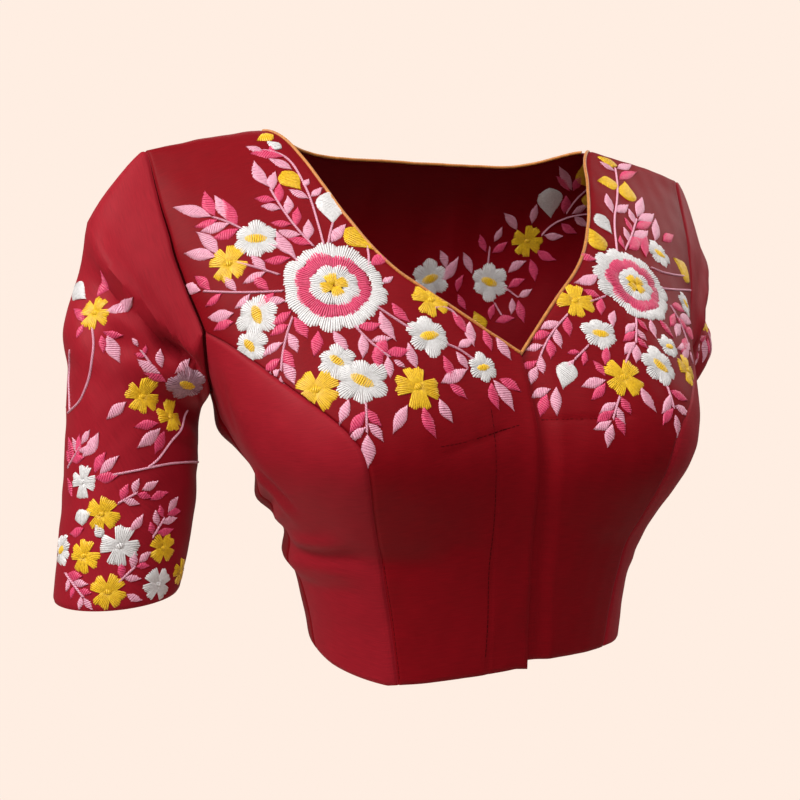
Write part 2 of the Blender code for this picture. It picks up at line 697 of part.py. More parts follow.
def tube(name, centres, radius, material):
    """A round cord along a line of points, as a curve with filled ends, made a mesh."""
    curve = bpy.data.curves.new(name + "_path", "CURVE")
    curve.dimensions = "3D"
    curve.bevel_depth = radius
    curve.bevel_resolution = (PIPING_SIDES - 4) // 2
    curve.use_fill_caps = True
    line = curve.splines.new("POLY")
    line.points.add(len(centres) - 1)
    for point, centre in zip(line.points, centres):
        point.co = (*centre, 1.0)
    path = bpy.data.objects.new(name + "_path", curve)
    bpy.context.scene.collection.objects.link(path)
    bpy.context.view_layer.update()
    graph = bpy.context.evaluated_depsgraph_get()
    data = bpy.data.meshes.new_from_object(path.evaluated_get(graph))
    mesh = bmesh.new()
    mesh.from_mesh(data)
    bmesh.ops.remove_doubles(mesh, verts=mesh.verts, dist=1e-5)
    bmesh.ops.recalc_face_normals(mesh, faces=mesh.faces)
    bpy.data.objects.remove(path)
    bpy.data.curves.remove(curve)
    bpy.data.meshes.remove(data)
    keep(name, mesh, material)


def cord_line(centres, shoulder_ends):
    """The piping's centres, cut short at each shoulder end so that the next piece's cord has room."""
    for end in shoulder_ends:
        beside = 1 if end == 0 else -2
        step = centres[beside] - centres[end]
        reach = PIPING_SHOULDER_CLEAR - abs(centres[end][1])
        centres[end] += step * reach / abs(step[1])
    return centres


def front_piping(side, material):
    """The cord along one front's neckline."""
    _, high = centre_line(side)
    if side == "left":
        first = place(OVERLAP_EDGE_X + PIPING_END_CLEAR, -NECK_DEPTH_FRONT)[0]
        high = high[high[:, 0] > first]
    points, outward = surface(high, side)
    along = unit(np.gradient(points, axis=0))
    into_panel = unit(np.cross(along, outward)) * (1.0 if side == "left" else -1.0)
    centres = points + into_panel * PIPING_RADIUS - outward * WALL / 2
    tube(f"piping_{side}", cord_line(centres, (-1,)), PIPING_RADIUS, material)


def back_piping(material):
    """The cord along the back neckline."""
    points, outward = surface(back_neck_line(PIPING_RADIUS), "left")
    centres = cord_line(points - outward * WALL / 2, (0, -1))
    tube("piping_back", centres, PIPING_RADIUS, material)


def main():
    for leftover in list(bpy.data.objects):
        bpy.data.objects.remove(leftover)
    collection = bpy.data.collections.new(COLLECTION)
    bpy.context.scene.collection.children.link(collection)
    cloth = finish("red_cloth", CLOTH_RED, CLOTH_ROUGHNESS)
    gold = finish("gold_piping", PIPING_GOLD, PIPING_ROUGHNESS)
    back_panel(cloth)
    back_piping(gold)
    for side in ("right", "left"):
        front_centre(side, cloth)
        front_side(side, cloth)
        sleeve(side, cloth)
        front_piping(side, gold)


main()
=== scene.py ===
"""Choli blouse, dressed: finer cloth on the solids' forms, seams, piping, hand embroidery, light and camera.

Metres, +Z up, the wearer faces -Y. The body's form is the solids' own: an angle round the body and a level
up the sections. Embroidery is satin stitch in relief: every thread is a low ridge laid on the cloth. Motifs
are placed by where they stand in the photograph's frame of 800 by 800 pixels.
"""

import math

import bpy
import numpy as np
from mathutils import Matrix, Vector
from mathutils.bvhtree import BVHTree
from mathutils.kdtree import KDTree


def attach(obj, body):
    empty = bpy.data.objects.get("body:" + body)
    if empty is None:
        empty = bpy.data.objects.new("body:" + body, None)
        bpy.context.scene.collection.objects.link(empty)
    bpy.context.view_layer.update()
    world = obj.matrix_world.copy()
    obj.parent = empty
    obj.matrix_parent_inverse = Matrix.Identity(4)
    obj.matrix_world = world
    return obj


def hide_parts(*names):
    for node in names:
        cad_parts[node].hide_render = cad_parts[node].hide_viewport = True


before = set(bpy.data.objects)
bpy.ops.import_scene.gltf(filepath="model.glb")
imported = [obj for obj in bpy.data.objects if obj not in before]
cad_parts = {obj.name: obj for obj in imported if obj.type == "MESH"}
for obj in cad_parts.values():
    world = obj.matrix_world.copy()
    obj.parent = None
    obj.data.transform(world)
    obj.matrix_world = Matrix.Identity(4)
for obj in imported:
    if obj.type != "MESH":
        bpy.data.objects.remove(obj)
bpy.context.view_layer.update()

# Cloth and seams, as in the solids; the gap at a seam is drawn nearly shut
WALL = 0.0012
THICKNESS = 0.9 * WALL
SEAM_GAP = 0.00006
OVERLAP_WIDTH = 0.026
TUCK_DEPTH = 0.0028
TUCK_MARGIN = 0.005
TUCK_RUN = 0.012
PIPING_RADIUS = 0.0011
SHOULDER_POINT_X = 0.2015
NECK_POINT_X = 0.123
NECK_DEPTH_FRONT = 0.143
NECK_DEPTH_BACK = 0.009
OVERLAP_EDGE_X = 0.008
UNDERARM_HEIGHT = -0.172

SECTION_COLUMNS = (
    "height", "half_width", "front_depth", "back_depth", "centre_y", "squareness", "side_drop",
)
SECTIONS = {
    "hem": (-0.345, 0.104, 0.075, 0.096, -0.068, 0.02, 0.000),
    "waist": (-0.315, 0.108, 0.082, 0.095, -0.062, 0.02, 0.000),
    "ribs": (-0.280, 0.116, 0.090, 0.096, -0.054, 0.02, 0.000),
    "under_bust": (-0.240, 0.132, 0.094, 0.096, -0.046, 0.02, 0.000),
    "bust": (-0.200, 0.153, 0.098, 0.100, -0.037, 0.03, 0.000),
    "armpit": (-0.160, 0.169, 0.093, 0.103, -0.029, 0.03, 0.002),
    "chest": (-0.100, 0.191, 0.077, 0.098, -0.016, 0.03, 0.008),
    "yoke": (-0.040, 0.205, 0.052, 0.071, -0.004, 0.03, 0.022),
    "shoulder": (-0.003, 0.208, 0.023, 0.030, 0.000, 0.02, 0.029),
    "ridge": (0.011, 0.208, 0.000, 0.000, 0.000, 0.02, 0.030),
}
DEPTH_COLUMNS = ("front_depth", "back_depth")
RIDGE = len(SECTIONS) - 1.0
ARMPIT_HALF_WIDTH = SECTIONS["armpit"][1]
MIRRORED_SECTIONS = 3

CUP_X = 0.094
CUP_HEIGHT = -0.202
CUP_RISE = 0.032
CUP_SPREAD = 0.44
CUP_BRIDGE = 0.020
CUP_REACH = {"to_centre": 0.086, "to_side": 0.075, "up": 0.100, "down": 0.055}
CUP_FADE_TO_SIDE = 2.2
CUP_FADE_LEVELS = 1.5

HEM_COLUMNS = ("angle_degrees", "right_height", "left_height")
HEM = (
    (0.0, -0.3370, -0.3330),
    (22.0, -0.3410, -0.3335),
    (45.0, -0.3455, -0.3345),
    (90.0, -0.3360, -0.3390),
    (135.0, -0.3295, -0.3310),
    (180.0, -0.3290, -0.3290),
)

PRINCESS_FOOT = (0.071, -0.341)
PRINCESS_TOP = (0.172, -0.133)
PRINCESS_SEAM = ((0.078, -0.290), (0.085, -0.235), (0.095, -0.190), (0.146, -0.150), PRINCESS_TOP)
FRONT_ARMHOLE = (PRINCESS_TOP, (0.187, -0.090), (0.194, -0.058))
BACK_ARMHOLE = ((0.183, -0.120), (0.190, -0.080), (0.1955, -0.050))
UNDERARM_CURVE_ANGLE = 84.0
UNDERARM_CURVE_DROP = 0.006
FRONT_NECK_SHAPE = ((0.66, 0.36), (0.33, 0.70))
FRONT_NECK_SAG = 0.0045
BACK_NECK_SHAPE = ((0.72, 0.75), (0.30, 1.00))

# Folds: a soft ridge (or trough, where the rise is negative) along a short line. The tables of folds are the
# solids' own, those of creases are finer and in the cloth alone.
FOLD_COLUMNS = ("side", "angle_degrees", "height", "slope_degrees", "half_length", "half_width", "rise")
BODY_FOLD_RADIUS = 0.13
BODY_FOLDS = (
    ("right", 112.0, -0.201, -12.0, 0.046, 0.011, 0.0060),
    ("right", 106.0, -0.222, 6.0, 0.040, 0.009, -0.0030),
    ("right", 110.0, -0.243, -8.0, 0.044, 0.009, 0.0055),
    ("right", 104.0, -0.262, 4.0, 0.050, 0.009, -0.0028),
    ("right", 98.0, -0.279, 3.0, 0.060, 0.007, 0.0040),
    ("left", 110.0, -0.205, 10.0, 0.044, 0.011, 0.0050),
    ("left", 103.0, -0.228, -6.0, 0.042, 0.010, -0.0028),
    ("left", 112.0, -0.250, 8.0, 0.046, 0.009, 0.0048),
    ("left", 99.0, -0.277, -4.0, 0.050, 0.008, 0.0034),
    ("right", 152.0, -0.270, 14.0, 0.050, 0.012, 0.0030),
    ("left", 150.0, -0.262, -12.0, 0.055, 0.012, 0.0032),
    ("right", 168.0, -0.236, 4.0, 0.060, 0.012, -0.0026),
)
BODY_CREASES = (
    ("right", 82.0, -0.228, -24.0, 0.026, 0.0055, 0.0022),
    ("right", 84.0, -0.240, -16.0, 0.026, 0.0040, -0.0018),
    ("right", 86.0, -0.251, -14.0, 0.030, 0.0045, 0.0016),
    ("right", 72.0, -0.276, 2.0, 0.042, 0.0045, 0.0016),
    ("right", 66.0, -0.290, -3.0, 0.030, 0.0045, -0.0010),
    ("right", 60.0, -0.305, -5.0, 0.022, 0.0050, 0.0005),
    ("right", 92.0, -0.192, -30.0, 0.020, 0.0050, 0.0010),
    ("right", 74.0, -0.175, -62.0, 0.022, 0.0050, -0.0009),
    ("right", 40.0, -0.268, 6.0, 0.036, 0.0080, -0.0022),
    ("right", 26.0, -0.262, -4.0, 0.034, 0.0080, -0.0008),
    ("left", 84.0, -0.236, 20.0, 0.024, 0.0055, 0.0011),
    ("left", 78.0, -0.262, 8.0, 0.034, 0.0050, -0.0008),
    ("left", 68.0, -0.284, -4.0, 0.036, 0.0045, 0.0008),
    ("left", 75.0, -0.178, 58.0, 0.024, 0.0055, -0.0009),
    ("left", 36.0, -0.266, -5.0, 0.034, 0.0090, -0.0010),
    ("right", 68.5, -0.2266, 46.0, 0.015, 0.0036, -0.0022),
    ("right", 72.0, -0.2330, 44.0, 0.015, 0.0045, 0.0018),
    ("right", 64.0, -0.2680, -3.0, 0.036, 0.0030, -0.0022),
    ("right", 66.0, -0.2600, -3.0, 0.034, 0.0040, 0.0018),
    ("both", 163.0, -0.060, 84.0, 0.034, 0.0045, 0.0014),
    ("right", 171.0, -0.072, 88.0, 0.042, 0.0040, -0.0013),
    ("right", 176.0, -0.062, 91.0, 0.030, 0.0040, 0.0011),
    ("left", 175.0, -0.066, 92.0, 0.036, 0.0040, 0.0013),
    ("left", 168.0, -0.078, 87.0, 0.046, 0.0040, -0.0014),
    ("left", 157.0, -0.090, 78.0, 0.030, 0.0060, 0.0014),
    ("right", 146.0, -0.150, 52.0, 0.030, 0.0080, 0.0012),
    ("left", 144.0, -0.142, -50.0, 0.034, 0.0080, 0.0011),
    ("right", 128.0, -0.168, -34.0, 0.026, 0.0070, -0.0011),
    ("left", 130.0, -0.160, 36.0, 0.024, 0.0070, -0.0010),
    ("right", 160.0, -0.292, 6.0, 0.036, 0.0060, 0.0010),
    ("left", 166.0, -0.286, -9.0, 0.030, 0.0055, -0.0009),
    ("left", 138.0, -0.300, 8.0, 0.028, 0.0060, 0.0009),
)

SLEEVE_COLUMNS = (
    "outer_height", "inner_height", "front_drop", "centre_x", "centre_y", "half_width", "half_depth",
)
SLEEVE_RINGS = {
    "right": (
        (-0.118, -0.188, 0.000, 0.2085, -0.0010, 0.0412, 0.0470),
        (-0.160, -0.208, 0.000, 0.2105, -0.0055, 0.0410, 0.0465),
        (-0.205, -0.232, 0.000, 0.2125, -0.0110, 0.0415, 0.0455),
        (-0.250, -0.264, 0.000, 0.2170, -0.0170, 0.0405, 0.0440),
        (-0.302, -0.298, 0.000, 0.2245, -0.0250, 0.0390, 0.0425),
    ),
    "left": (
        (-0.112, -0.184, 0.012, 0.2060, 0.0200, 0.0412, 0.0455),
        (-0.152, -0.204, 0.017, 0.2000, 0.0380, 0.0410, 0.0435),
        (-0.195, -0.226, 0.019, 0.1930, 0.0570, 0.0413, 0.0420),
        (-0.238, -0.256, 0.019, 0.1860, 0.0750, 0.0405, 0.0405),
        (-0.288, -0.288, 0.018, 0.1780, 0.0940, 0.0390, 0.0390),
    ),
}
CAP_LEAN = {"right": 0.000, "left": 0.016}
CAP_OUTWARD = 0.055
CAP_DOWNWARD = 0.036
CAP_FORWARD_SHARE = 0.3
CAP_FULL_REACH = 0.06
UNDERARM_PULL = 0.30
SLEEVE_FOLD_RADIUS = 0.044
SLEEVE_FOLD_FADE = {"armhole": 0.8, "hem": 0.6}
SLEEVE_FOLDS = (
    ("both", 62.0, -0.112, -50.0, 0.060, 0.010, 0.0048),
    ("both", 58.0, -0.134, -48.0, 0.052, 0.011, -0.0042),
    ("both", 112.0, -0.160, -28.0, 0.034, 0.008, 0.0036),
    ("both", 118.0, -0.180, -24.0, 0.034, 0.008, -0.0030),
    ("both", 262.0, -0.118, 46.0, 0.050, 0.011, 0.0040),
    ("both", 250.0, -0.145, 42.0, 0.046, 0.010, -0.0034),
)
# The first four fill out the right cap and draw in the left one, each again a full turn on
SLEEVE_CREASES = (
    ("right", 338.0, -0.0500, 0.0, 0.050, 0.0340, 0.0095),
    ("right", -22.0, -0.0500, 0.0, 0.050, 0.0340, 0.0095),
    ("left", 20.0, -0.1050, 0.0, 0.050, 0.0340, -0.0120),
    ("left", 380.0, -0.1050, 0.0, 0.050, 0.0340, -0.0120),
    ("both", 66.0, -0.1080, -38.0, 0.062, 0.0056, 0.0064),
    ("both", 80.0, -0.1265, -35.0, 0.048, 0.0040, -0.0086),
    ("both", 112.0, -0.1375, -30.0, 0.030, 0.0036, 0.0056),
    ("both", 120.0, -0.1500, -28.0, 0.026, 0.0034, -0.0048),
    ("both", 128.0, -0.1580, -24.0, 0.018, 0.0032, 0.0026),
    ("both", 84.0, -0.1460, -25.0, 0.022, 0.0090, -0.0040),
    ("both", 96.0, -0.158, -34.0, 0.022, 0.0050, 0.0014),
    ("both", 128.0, -0.196, -20.0, 0.022, 0.0050, 0.0012),
    ("both", 142.0, -0.206, -14.0, 0.020, 0.0045, -0.0010),
    ("both", 70.0, -0.092, -58.0, 0.018, 0.0045, -0.0009),
    ("both", 40.0, -0.170, -66.0, 0.030, 0.0080, 0.0009),
    ("both", 214.0, -0.196, 22.0, 0.022, 0.0060, 0.0012),
    ("both", 232.0, -0.172, 34.0, 0.026, 0.0060, 0.0010),
    ("both", 300.0, -0.200, 70.0, 0.040, 0.0090, -0.0010),
    ("both", 168.0, -0.226, -6.0, 0.020, 0.0060, -0.0010),
    ("both", 100.0, -0.252, 12.0, 0.024, 0.0090, 0.0007),
    ("both", 20.0, -0.262, -8.0, 0.026, 0.0090, 0.0006),
)

# Fineness of the cloth
LOW_ROWS = 84
HIGH_ROWS = 60
FRONT_COLUMNS = 70
UNDERLAP_COLUMNS = 12
SIDE_COLUMNS = 34
BACK_NECK_COLUMNS = 60
BACK_LOW_ROWS = 60
BACK_HIGH_ROWS = 44
BACK_SHOULDER_COLUMNS = 26
SLEEVE_RING = {"front": 36, "under": 16, "back": 44}
SLEEVE_STEPS = 84
EDGE_SHARES = (0.10, 0.30, 0.60)
LEAST_SQUARE = 0.1
FINE_POINTS = 60
SHARP_DEGREES = 55

# How deep the cloth rolls into its seams and hems, and the waves that keep pressed cloth from being even
SEAM_ROLL = 0.0014
SEAM_ROLL_REACH = 0.0013
HEM_SHARE = 0.6
NECK_SHARE = 0.5
RIPPLE_RISE = 0.00012
RIPPLE_COLUMNS = ("share", "x", "y", "z", "phase", "sway", "sway_x", "sway_z", "sway_phase")
RIPPLES = (
    (1.0, 171, 0, 60, 0.0, 2.0, 0, 47, 0.0),
    (1.0, -95, 160, 133, 1.3, 0.0, 0, 0, 0.0),
    (0.7, 210, 0, 290, 0.0, 1.7, 61, 0, 0.4),
    (0.6, 405, 120, -83, 0.0, 0.0, 0, 0, 0.0),
)
SLEEVE_RIPPLE_SCALE = 1.3


def unit(vectors):
    """Vectors of length one, along the last axis."""
    return vectors / np.maximum(np.linalg.norm(vectors, axis=-1, keepdims=True), 1e-12)


def ease(value):
    """0 below 0, 1 above 1 and a smooth step between."""
    value = np.clip(value, 0.0, 1.0)
    return value * value * (3.0 - 2.0 * value)


def near(away, reach):
    """1 at a line, fading to 0 within a few times its reach."""
    return np.exp(-((away / reach) ** 2))


def run_length(points):
    """How far along a line each of its points lies."""
    return np.concatenate([[0.0], np.cumsum(np.linalg.norm(np.diff(points, axis=0), axis=1))])


def read_at(want, run, values):
    """Values given at points of a line, read at wanted distances along it."""
    return np.stack([np.interp(want, run, column) for column in np.transpose(values)], axis=-1)


def spline(knots, at):
    """A natural cubic spline through evenly numbered rows, read at any row number."""
    knots = np.asarray(knots, float)
    count = len(knots)
    system = np.eye(count) * 4.0
    system[0, 0] = system[-1, -1] = 1.0
    pull = np.zeros_like(knots)
    for i in range(1, count - 1):
        system[i, i - 1] = system[i, i + 1] = 1.0
        pull[i] = 6.0 * (knots[i - 1] - 2.0 * knots[i] + knots[i + 1])
    bend = np.linalg.solve(system, pull)
    at = np.asarray(at, float)
    first = np.clip(np.floor(at).astype(int), 0, count - 2)
    share = (at - first)[..., None]
    rest = 1.0 - share
    return (
        rest * knots[first] + share * knots[first + 1]
        + (rest**3 - rest) * bend[first] / 6.0 + (share**3 - share) * bend[first + 1] / 6.0
    )


def section_rows():
    """The sections, and a few mirrored ones beyond the ridge, so that the shoulder rounds over."""
    rows = [list(row) for row in SECTIONS.values()]
    for row in reversed(rows[-1 - MIRRORED_SECTIONS : -1]):
        signs = [-1.0 if name in DEPTH_COLUMNS else 1.0 for name in SECTION_COLUMNS]
        rows.append([value * sign for value, sign in zip(row, signs)])
    return np.array(rows)


SECTION_ROWS = section_rows()


def section(level):
    """The section's sizes at a level, by column name."""
    values = spline(SECTION_ROWS, level)
    return {name: values[..., i] for i, name in enumerate(SECTION_COLUMNS)}


def squared(angle, squareness):
    """Sine and cosine of an angle, pushed out towards a rounded rectangle."""
    across = (np.sin(angle) + squareness * np.sin(3 * angle)) / (1 - squareness)
    along = (np.cos(angle) - squareness * np.cos(3 * angle)) / (1 - squareness)
    return across, along


def cup(x, z):
    """How far the bust shaping stands out at a place on the front."""
    x = np.hypot(x, CUP_BRIDGE)
    beside = np.where(x < CUP_X, CUP_REACH["to_centre"], CUP_REACH["to_side"])
    above = np.where(z > CUP_HEIGHT, CUP_REACH["up"], CUP_REACH["down"])
    return CUP_RISE * np.exp(-(((x - CUP_X) / beside) ** 2) - ((z - CUP_HEIGHT) / above) ** 2)


def smooth_form(angle, level):
    """The form without its folds."""
    angle, level = np.broadcast_arrays(np.asarray(angle, float), np.asarray(level, float))
    cut = section(level)
    across, along = squared(angle, cut["squareness"])
    x = cut["half_width"] * across
    z = cut["height"] - cut["side_drop"] * across**2
    depth = np.where(along > 0, cut["front_depth"], cut["back_depth"])
    y = cut["centre_y"] - depth * along
    rise = cup(np.abs(x), z) * ease(CUP_FADE_TO_SIDE * along) * ease((RIDGE - level) / CUP_FADE_LEVELS)
    outward = CUP_SPREAD * np.clip(np.abs(x) / CUP_X, 0, 1)
    return np.stack([x + np.sign(across) * rise * outward, y - rise, z], axis=-1)


def form_normal(angle, level):
    """The outward direction of the form."""
    step = 0.01
    round_it = smooth_form(angle + step, level) - smooth_form(angle - step, level)
    up_it = smooth_form(angle, level + step) - smooth_form(angle, level - step)
    return unit(np.cross(round_it, up_it))


def fold_rise(folds, side, angle_degrees, height, radius):
    """The sum of a table's folds at a place, each a soft ridge that fades along its line and across it."""
    total = np.zeros(np.shape(height))
    for row in folds:
        fold = dict(zip(FOLD_COLUMNS, row))
        if fold["side"] not in (side, "both"):
            continue
        right = radius * np.radians(angle_degrees - fold["angle_degrees"])
        up = height - fold["height"]
        slope = math.radians(fold["slope_degrees"])
        along = (right * math.cos(slope) + up * math.sin(slope)) / fold["half_length"]
        beside = (up * math.cos(slope) - right * math.sin(slope)) / fold["half_width"]
        total += fold["rise"] * np.exp(-(along**4) - beside**2)
    return total


def ripple(points):
    """Slight unevenness of pressed cloth: a few long waves that cross at odd angles."""
    x, y, z = np.moveaxis(points, -1, 0)
    waves = 0.0
    for row in RIPPLES:
        wave = dict(zip(RIPPLE_COLUMNS, row))
        sway = wave["sway"] * np.sin(wave["sway_x"] * x + wave["sway_z"] * z + wave["sway_phase"])
        turn = wave["x"] * x + wave["y"] * y + wave["z"] * z + wave["phase"] + sway
        waves = waves + wave["share"] * np.sin(turn)
    return RIPPLE_RISE * waves


def form(angle, level):
    """A point of the blouse's outer surface, with its folds and creases."""
    point = smooth_form(angle, level)
    turned = np.degrees(np.mod(angle, 2 * math.pi))
    left = turned <= 180.0
    from_front = np.where(left, turned, 360.0 - turned)
    folds = BODY_FOLDS + BODY_CREASES
    sides = [(folds, side, from_front, point[..., 2], BODY_FOLD_RADIUS) for side in ("left", "right")]
    lift = np.where(left, *(fold_rise(*values) for values in sides))
    return point + form_normal(angle, level) * (lift + ripple(point))[..., None]


def bisect(low, high, too_low, rounds=40):
    """Narrows a range of values to where too_low turns false."""
    for _ in range(rounds):
        middle = (low + high) / 2
        below = too_low(middle)
        low = np.where(below, middle, low)
        high = np.where(below, high, middle)
    return (low + high) / 2


def level_at(x, z):
    """The level at which the form has height z, at a distance x from the centre plane."""

    def too_low(level):
        cut = section(level)
        return cut["height"] - cut["side_drop"] * np.minimum((x / cut["half_width"]) ** 2, 1) < z

    low = np.full(np.shape(z), -1.0)
    return bisect(low, np.full(np.shape(z), RIDGE), too_low)


def place(x, z=None, back=False):
    """Angle and level of a point given by its distance from the centre and its height, or on the ridge."""
    x = np.asarray(x, float)
    level = np.full(x.shape, RIDGE) if z is None else level_at(x, np.asarray(z, float))
    cut = section(level)
    share = np.clip(x / cut["half_width"], 0, 1)
    angle = bisect(
        np.zeros(x.shape), np.full(x.shape, math.pi / 2),
        lambda turn: squared(turn, cut["squareness"])[0] < share,
    )
    return np.stack([math.pi - angle if back else angle, level], axis=-1)


def hem_height(angle, side):
    """Height of the hem at an angle from the centre front, on the right or the left."""
    table = np.array(HEM)
    return np.interp(np.degrees(angle), table[:, 0], table[:, HEM_COLUMNS.index(side + "_height")])


def hem_place(angle, side):
    """Angle and level of the hem at an angle on the wearer's left."""
    angle = np.asarray(angle, float)
    level = level_at(0.0, hem_height(angle, side))
    return np.stack([angle, level], axis=-1)


def even_line(points, count):
    """The places of a smooth line through points, evenly spaced along it."""
    points = np.asarray(points, float)
    fine = spline(points, np.linspace(0, len(points) - 1, FINE_POINTS * len(points)))
    run = run_length(smooth_form(fine[:, 0], fine[:, 1]))
    return read_at(np.linspace(0, run[-1], count + 1), run, fine)


def moved(places, distance):
    """A line of places moved across itself over the surface, to its right as seen from outside."""
    angle, level = places.T
    step = 1e-3
    round_it = (smooth_form(angle + step, level) - smooth_form(angle - step, level)) / (2 * step)
    up_it = (smooth_form(angle, level + step) - smooth_form(angle, level - step)) / (2 * step)
    along = unit(np.gradient(smooth_form(angle, level), axis=0))
    shift = unit(np.cross(along, form_normal(angle, level))) * distance
    basis = np.stack([round_it, up_it], axis=-1)
    return places + np.array([np.linalg.lstsq(f, d, rcond=None)[0] for f, d in zip(basis, shift)])


def front_armhole_line(count):
    """The upper front armhole, from the princess seam up to the shoulder point."""
    return even_line([place(x, z) for x, z in FRONT_ARMHOLE] + [place(SHOULDER_POINT_X)], count)


def princess_line(side, count):
    """From the hem up to the armhole."""
    foot_angle = place(*PRINCESS_FOOT)[0]
    return even_line([hem_place(foot_angle, side)] + [place(x, z) for x, z in PRINCESS_SEAM], count)


def side_line(side, count):
    """From the hem up to the underarm, at the side."""
    quarter = math.pi / 2
    foot = hem_place(quarter, side)
    top = level_at(ARMPIT_HALF_WIDTH, UNDERARM_HEIGHT)
    return even_line([(quarter, foot[1]), (quarter, (foot[1] + top) / 2), (quarter, top)], count)


def underarm_line(side, count):
    """The lower armhole, from the princess seam to the underarm."""
    bend = math.radians(UNDERARM_CURVE_ANGLE)
    middle = (bend, level_at(ARMPIT_HALF_WIDTH, UNDERARM_HEIGHT + UNDERARM_CURVE_DROP))
    return even_line([place(*PRINCESS_TOP), middle, side_line(side, LOW_ROWS)[-1]], count)


def back_armhole_line(side, count):
    """The back armhole, from the underarm up to the shoulder point."""
    bend = math.pi - math.radians(UNDERARM_CURVE_ANGLE)
    low = (bend, level_at(ARMPIT_HALF_WIDTH, UNDERARM_HEIGHT + UNDERARM_CURVE_DROP))
    rows = [side_line(side, LOW_ROWS)[-1], low] + [place(x, z, back=True) for x, z in BACK_ARMHOLE]
    rows.append(place(SHOULDER_POINT_X, back=True))
    return even_line(rows, count)


def front_neck_rows():
    """The neckline's points from the lowest one up to the neck point, x and height."""
    sag = FRONT_NECK_SAG
    rows = [(OVERLAP_EDGE_X, -NECK_DEPTH_FRONT)]
    for width_share, depth_share in reversed(FRONT_NECK_SHAPE):
        rows.append((NECK_POINT_X * width_share + sag, -NECK_DEPTH_FRONT * depth_share - sag))
    rows.append((NECK_POINT_X, None))
    return rows


def centre_line(side, low_count, high_count):
    """The overlap edge and the neckline of a front: two runs of places, from the hem to the neck point."""
    neck = front_neck_rows()
    if side == "right":
        edge_x, edge_top = -OVERLAP_EDGE_X, -NECK_DEPTH_FRONT
        neck[0] = (edge_x, edge_top)
    else:
        slope = (neck[1][1] - neck[0][1]) / (neck[1][0] - neck[0][0])
        edge_x = OVERLAP_EDGE_X - OVERLAP_WIDTH
        edge_top = -NECK_DEPTH_FRONT + slope * (edge_x - OVERLAP_EDGE_X)
        neck.insert(0, (edge_x, edge_top))
    hem = hem_height(0.0, side)
    edge = [(edge_x, height) for height in (hem, (hem + edge_top) / 2, edge_top)]

    def signed(rows):
        places = [place(abs(x), z) for x, z in rows]
        return [(math.copysign(angle, x), level) for (x, _), (angle, level) in zip(rows, places)]

    return even_line(signed(edge), low_count), even_line(signed(neck), high_count)


def patch(inner, outer, bottom, top, shares=None):
    """Places inside four edges: inner and outer run upwards, bottom and top from inner to outer."""
    even = np.linspace(0, 1, len(bottom))
    u = np.broadcast_to(even if shares is None else shares, (len(inner), len(even)))[..., None]
    v = np.linspace(0, 1, len(inner))[:, None, None]
    low, high = (read_at(u[..., 0], even, edge) for edge in (bottom, top))
    ruled = (1 - u) * inner[:, None] + u * outer[:, None] + (1 - v) * low + v * high
    corners = (
        (1 - u) * (1 - v) * inner[0] + u * (1 - v) * outer[0]
        + (1 - u) * v * inner[-1] + u * v * outer[-1]
    )
    return ruled - corners


def edge_rows(grid, axis):
    """Adds rows close to both edges of a grid, so that the cloth can roll into its seams."""
    grid = np.moveaxis(grid, axis, 0)
    first = [grid[0] + (grid[1] - grid[0]) * share for share in EDGE_SHARES]
    last = [grid[-1] + (grid[-2] - grid[-1]) * share for share in reversed(EDGE_SHARES)]
    grid = np.concatenate([grid[:1], first, grid[1:-1], last, grid[-1:]])
    return np.moveaxis(grid, 0, axis)


def pulled_in(points, first_gap, last_gap, axis):
    """Moves a grid's first and last row inwards, by a gap measured square to the edge, and draws the rows
    added beside them along."""
    points = np.moveaxis(points, axis, 0).copy()
    added = range(len(EDGE_SHARES) + 1)
    for edge, inwards, gap in ((0, 1, first_gap), (-1, -1, last_gap)):
        reach = points[edge + inwards * len(added)] - points[edge]
        towards = unit(reach)
        along = unit(np.gradient(points[edge], axis=0))
        square = np.sqrt(np.maximum(1 - (towards * along).sum(axis=1) ** 2, LEAST_SQUARE))
        move = towards * (gap / square)[:, None]
        span = np.maximum(np.linalg.norm(reach, axis=1), 1e-9)
        for row in added:
            beside = edge + inwards * row
            away = np.linalg.norm(points[beside] - points[edge], axis=1) / span
            points[beside] = points[beside] + move * np.clip(1 - away, 0, 1)[:, None]
    return np.moveaxis(points, 0, axis)


def rolled(points, outward, sides):
    """Lets the cloth dip into its seams along the named edges: inner, outer, bottom, top."""
    dip = np.zeros(points.shape[:2])
    edges = {"inner": (1, 0), "outer": (1, -1), "bottom": (0, 0), "top": (0, -1)}
    for name, strength in sides.items():
        axis, row = edges[name]
        edge = np.take(points, [row], axis=axis)
        away = np.linalg.norm(points - edge, axis=-1)
        dip = np.maximum(dip, strength * SEAM_ROLL * near(away, SEAM_ROLL_REACH))
    return points - outward * dip[..., None]


def grid_length(points, axis):
    """Running length along a grid's rows or columns, in metres, for the weave."""
    steps = np.linalg.norm(np.diff(points, axis=axis), axis=-1)
    zero = np.zeros_like(np.take(steps, [0], axis=axis))
    return np.concatenate([zero, np.cumsum(steps, axis=axis)], axis=axis)


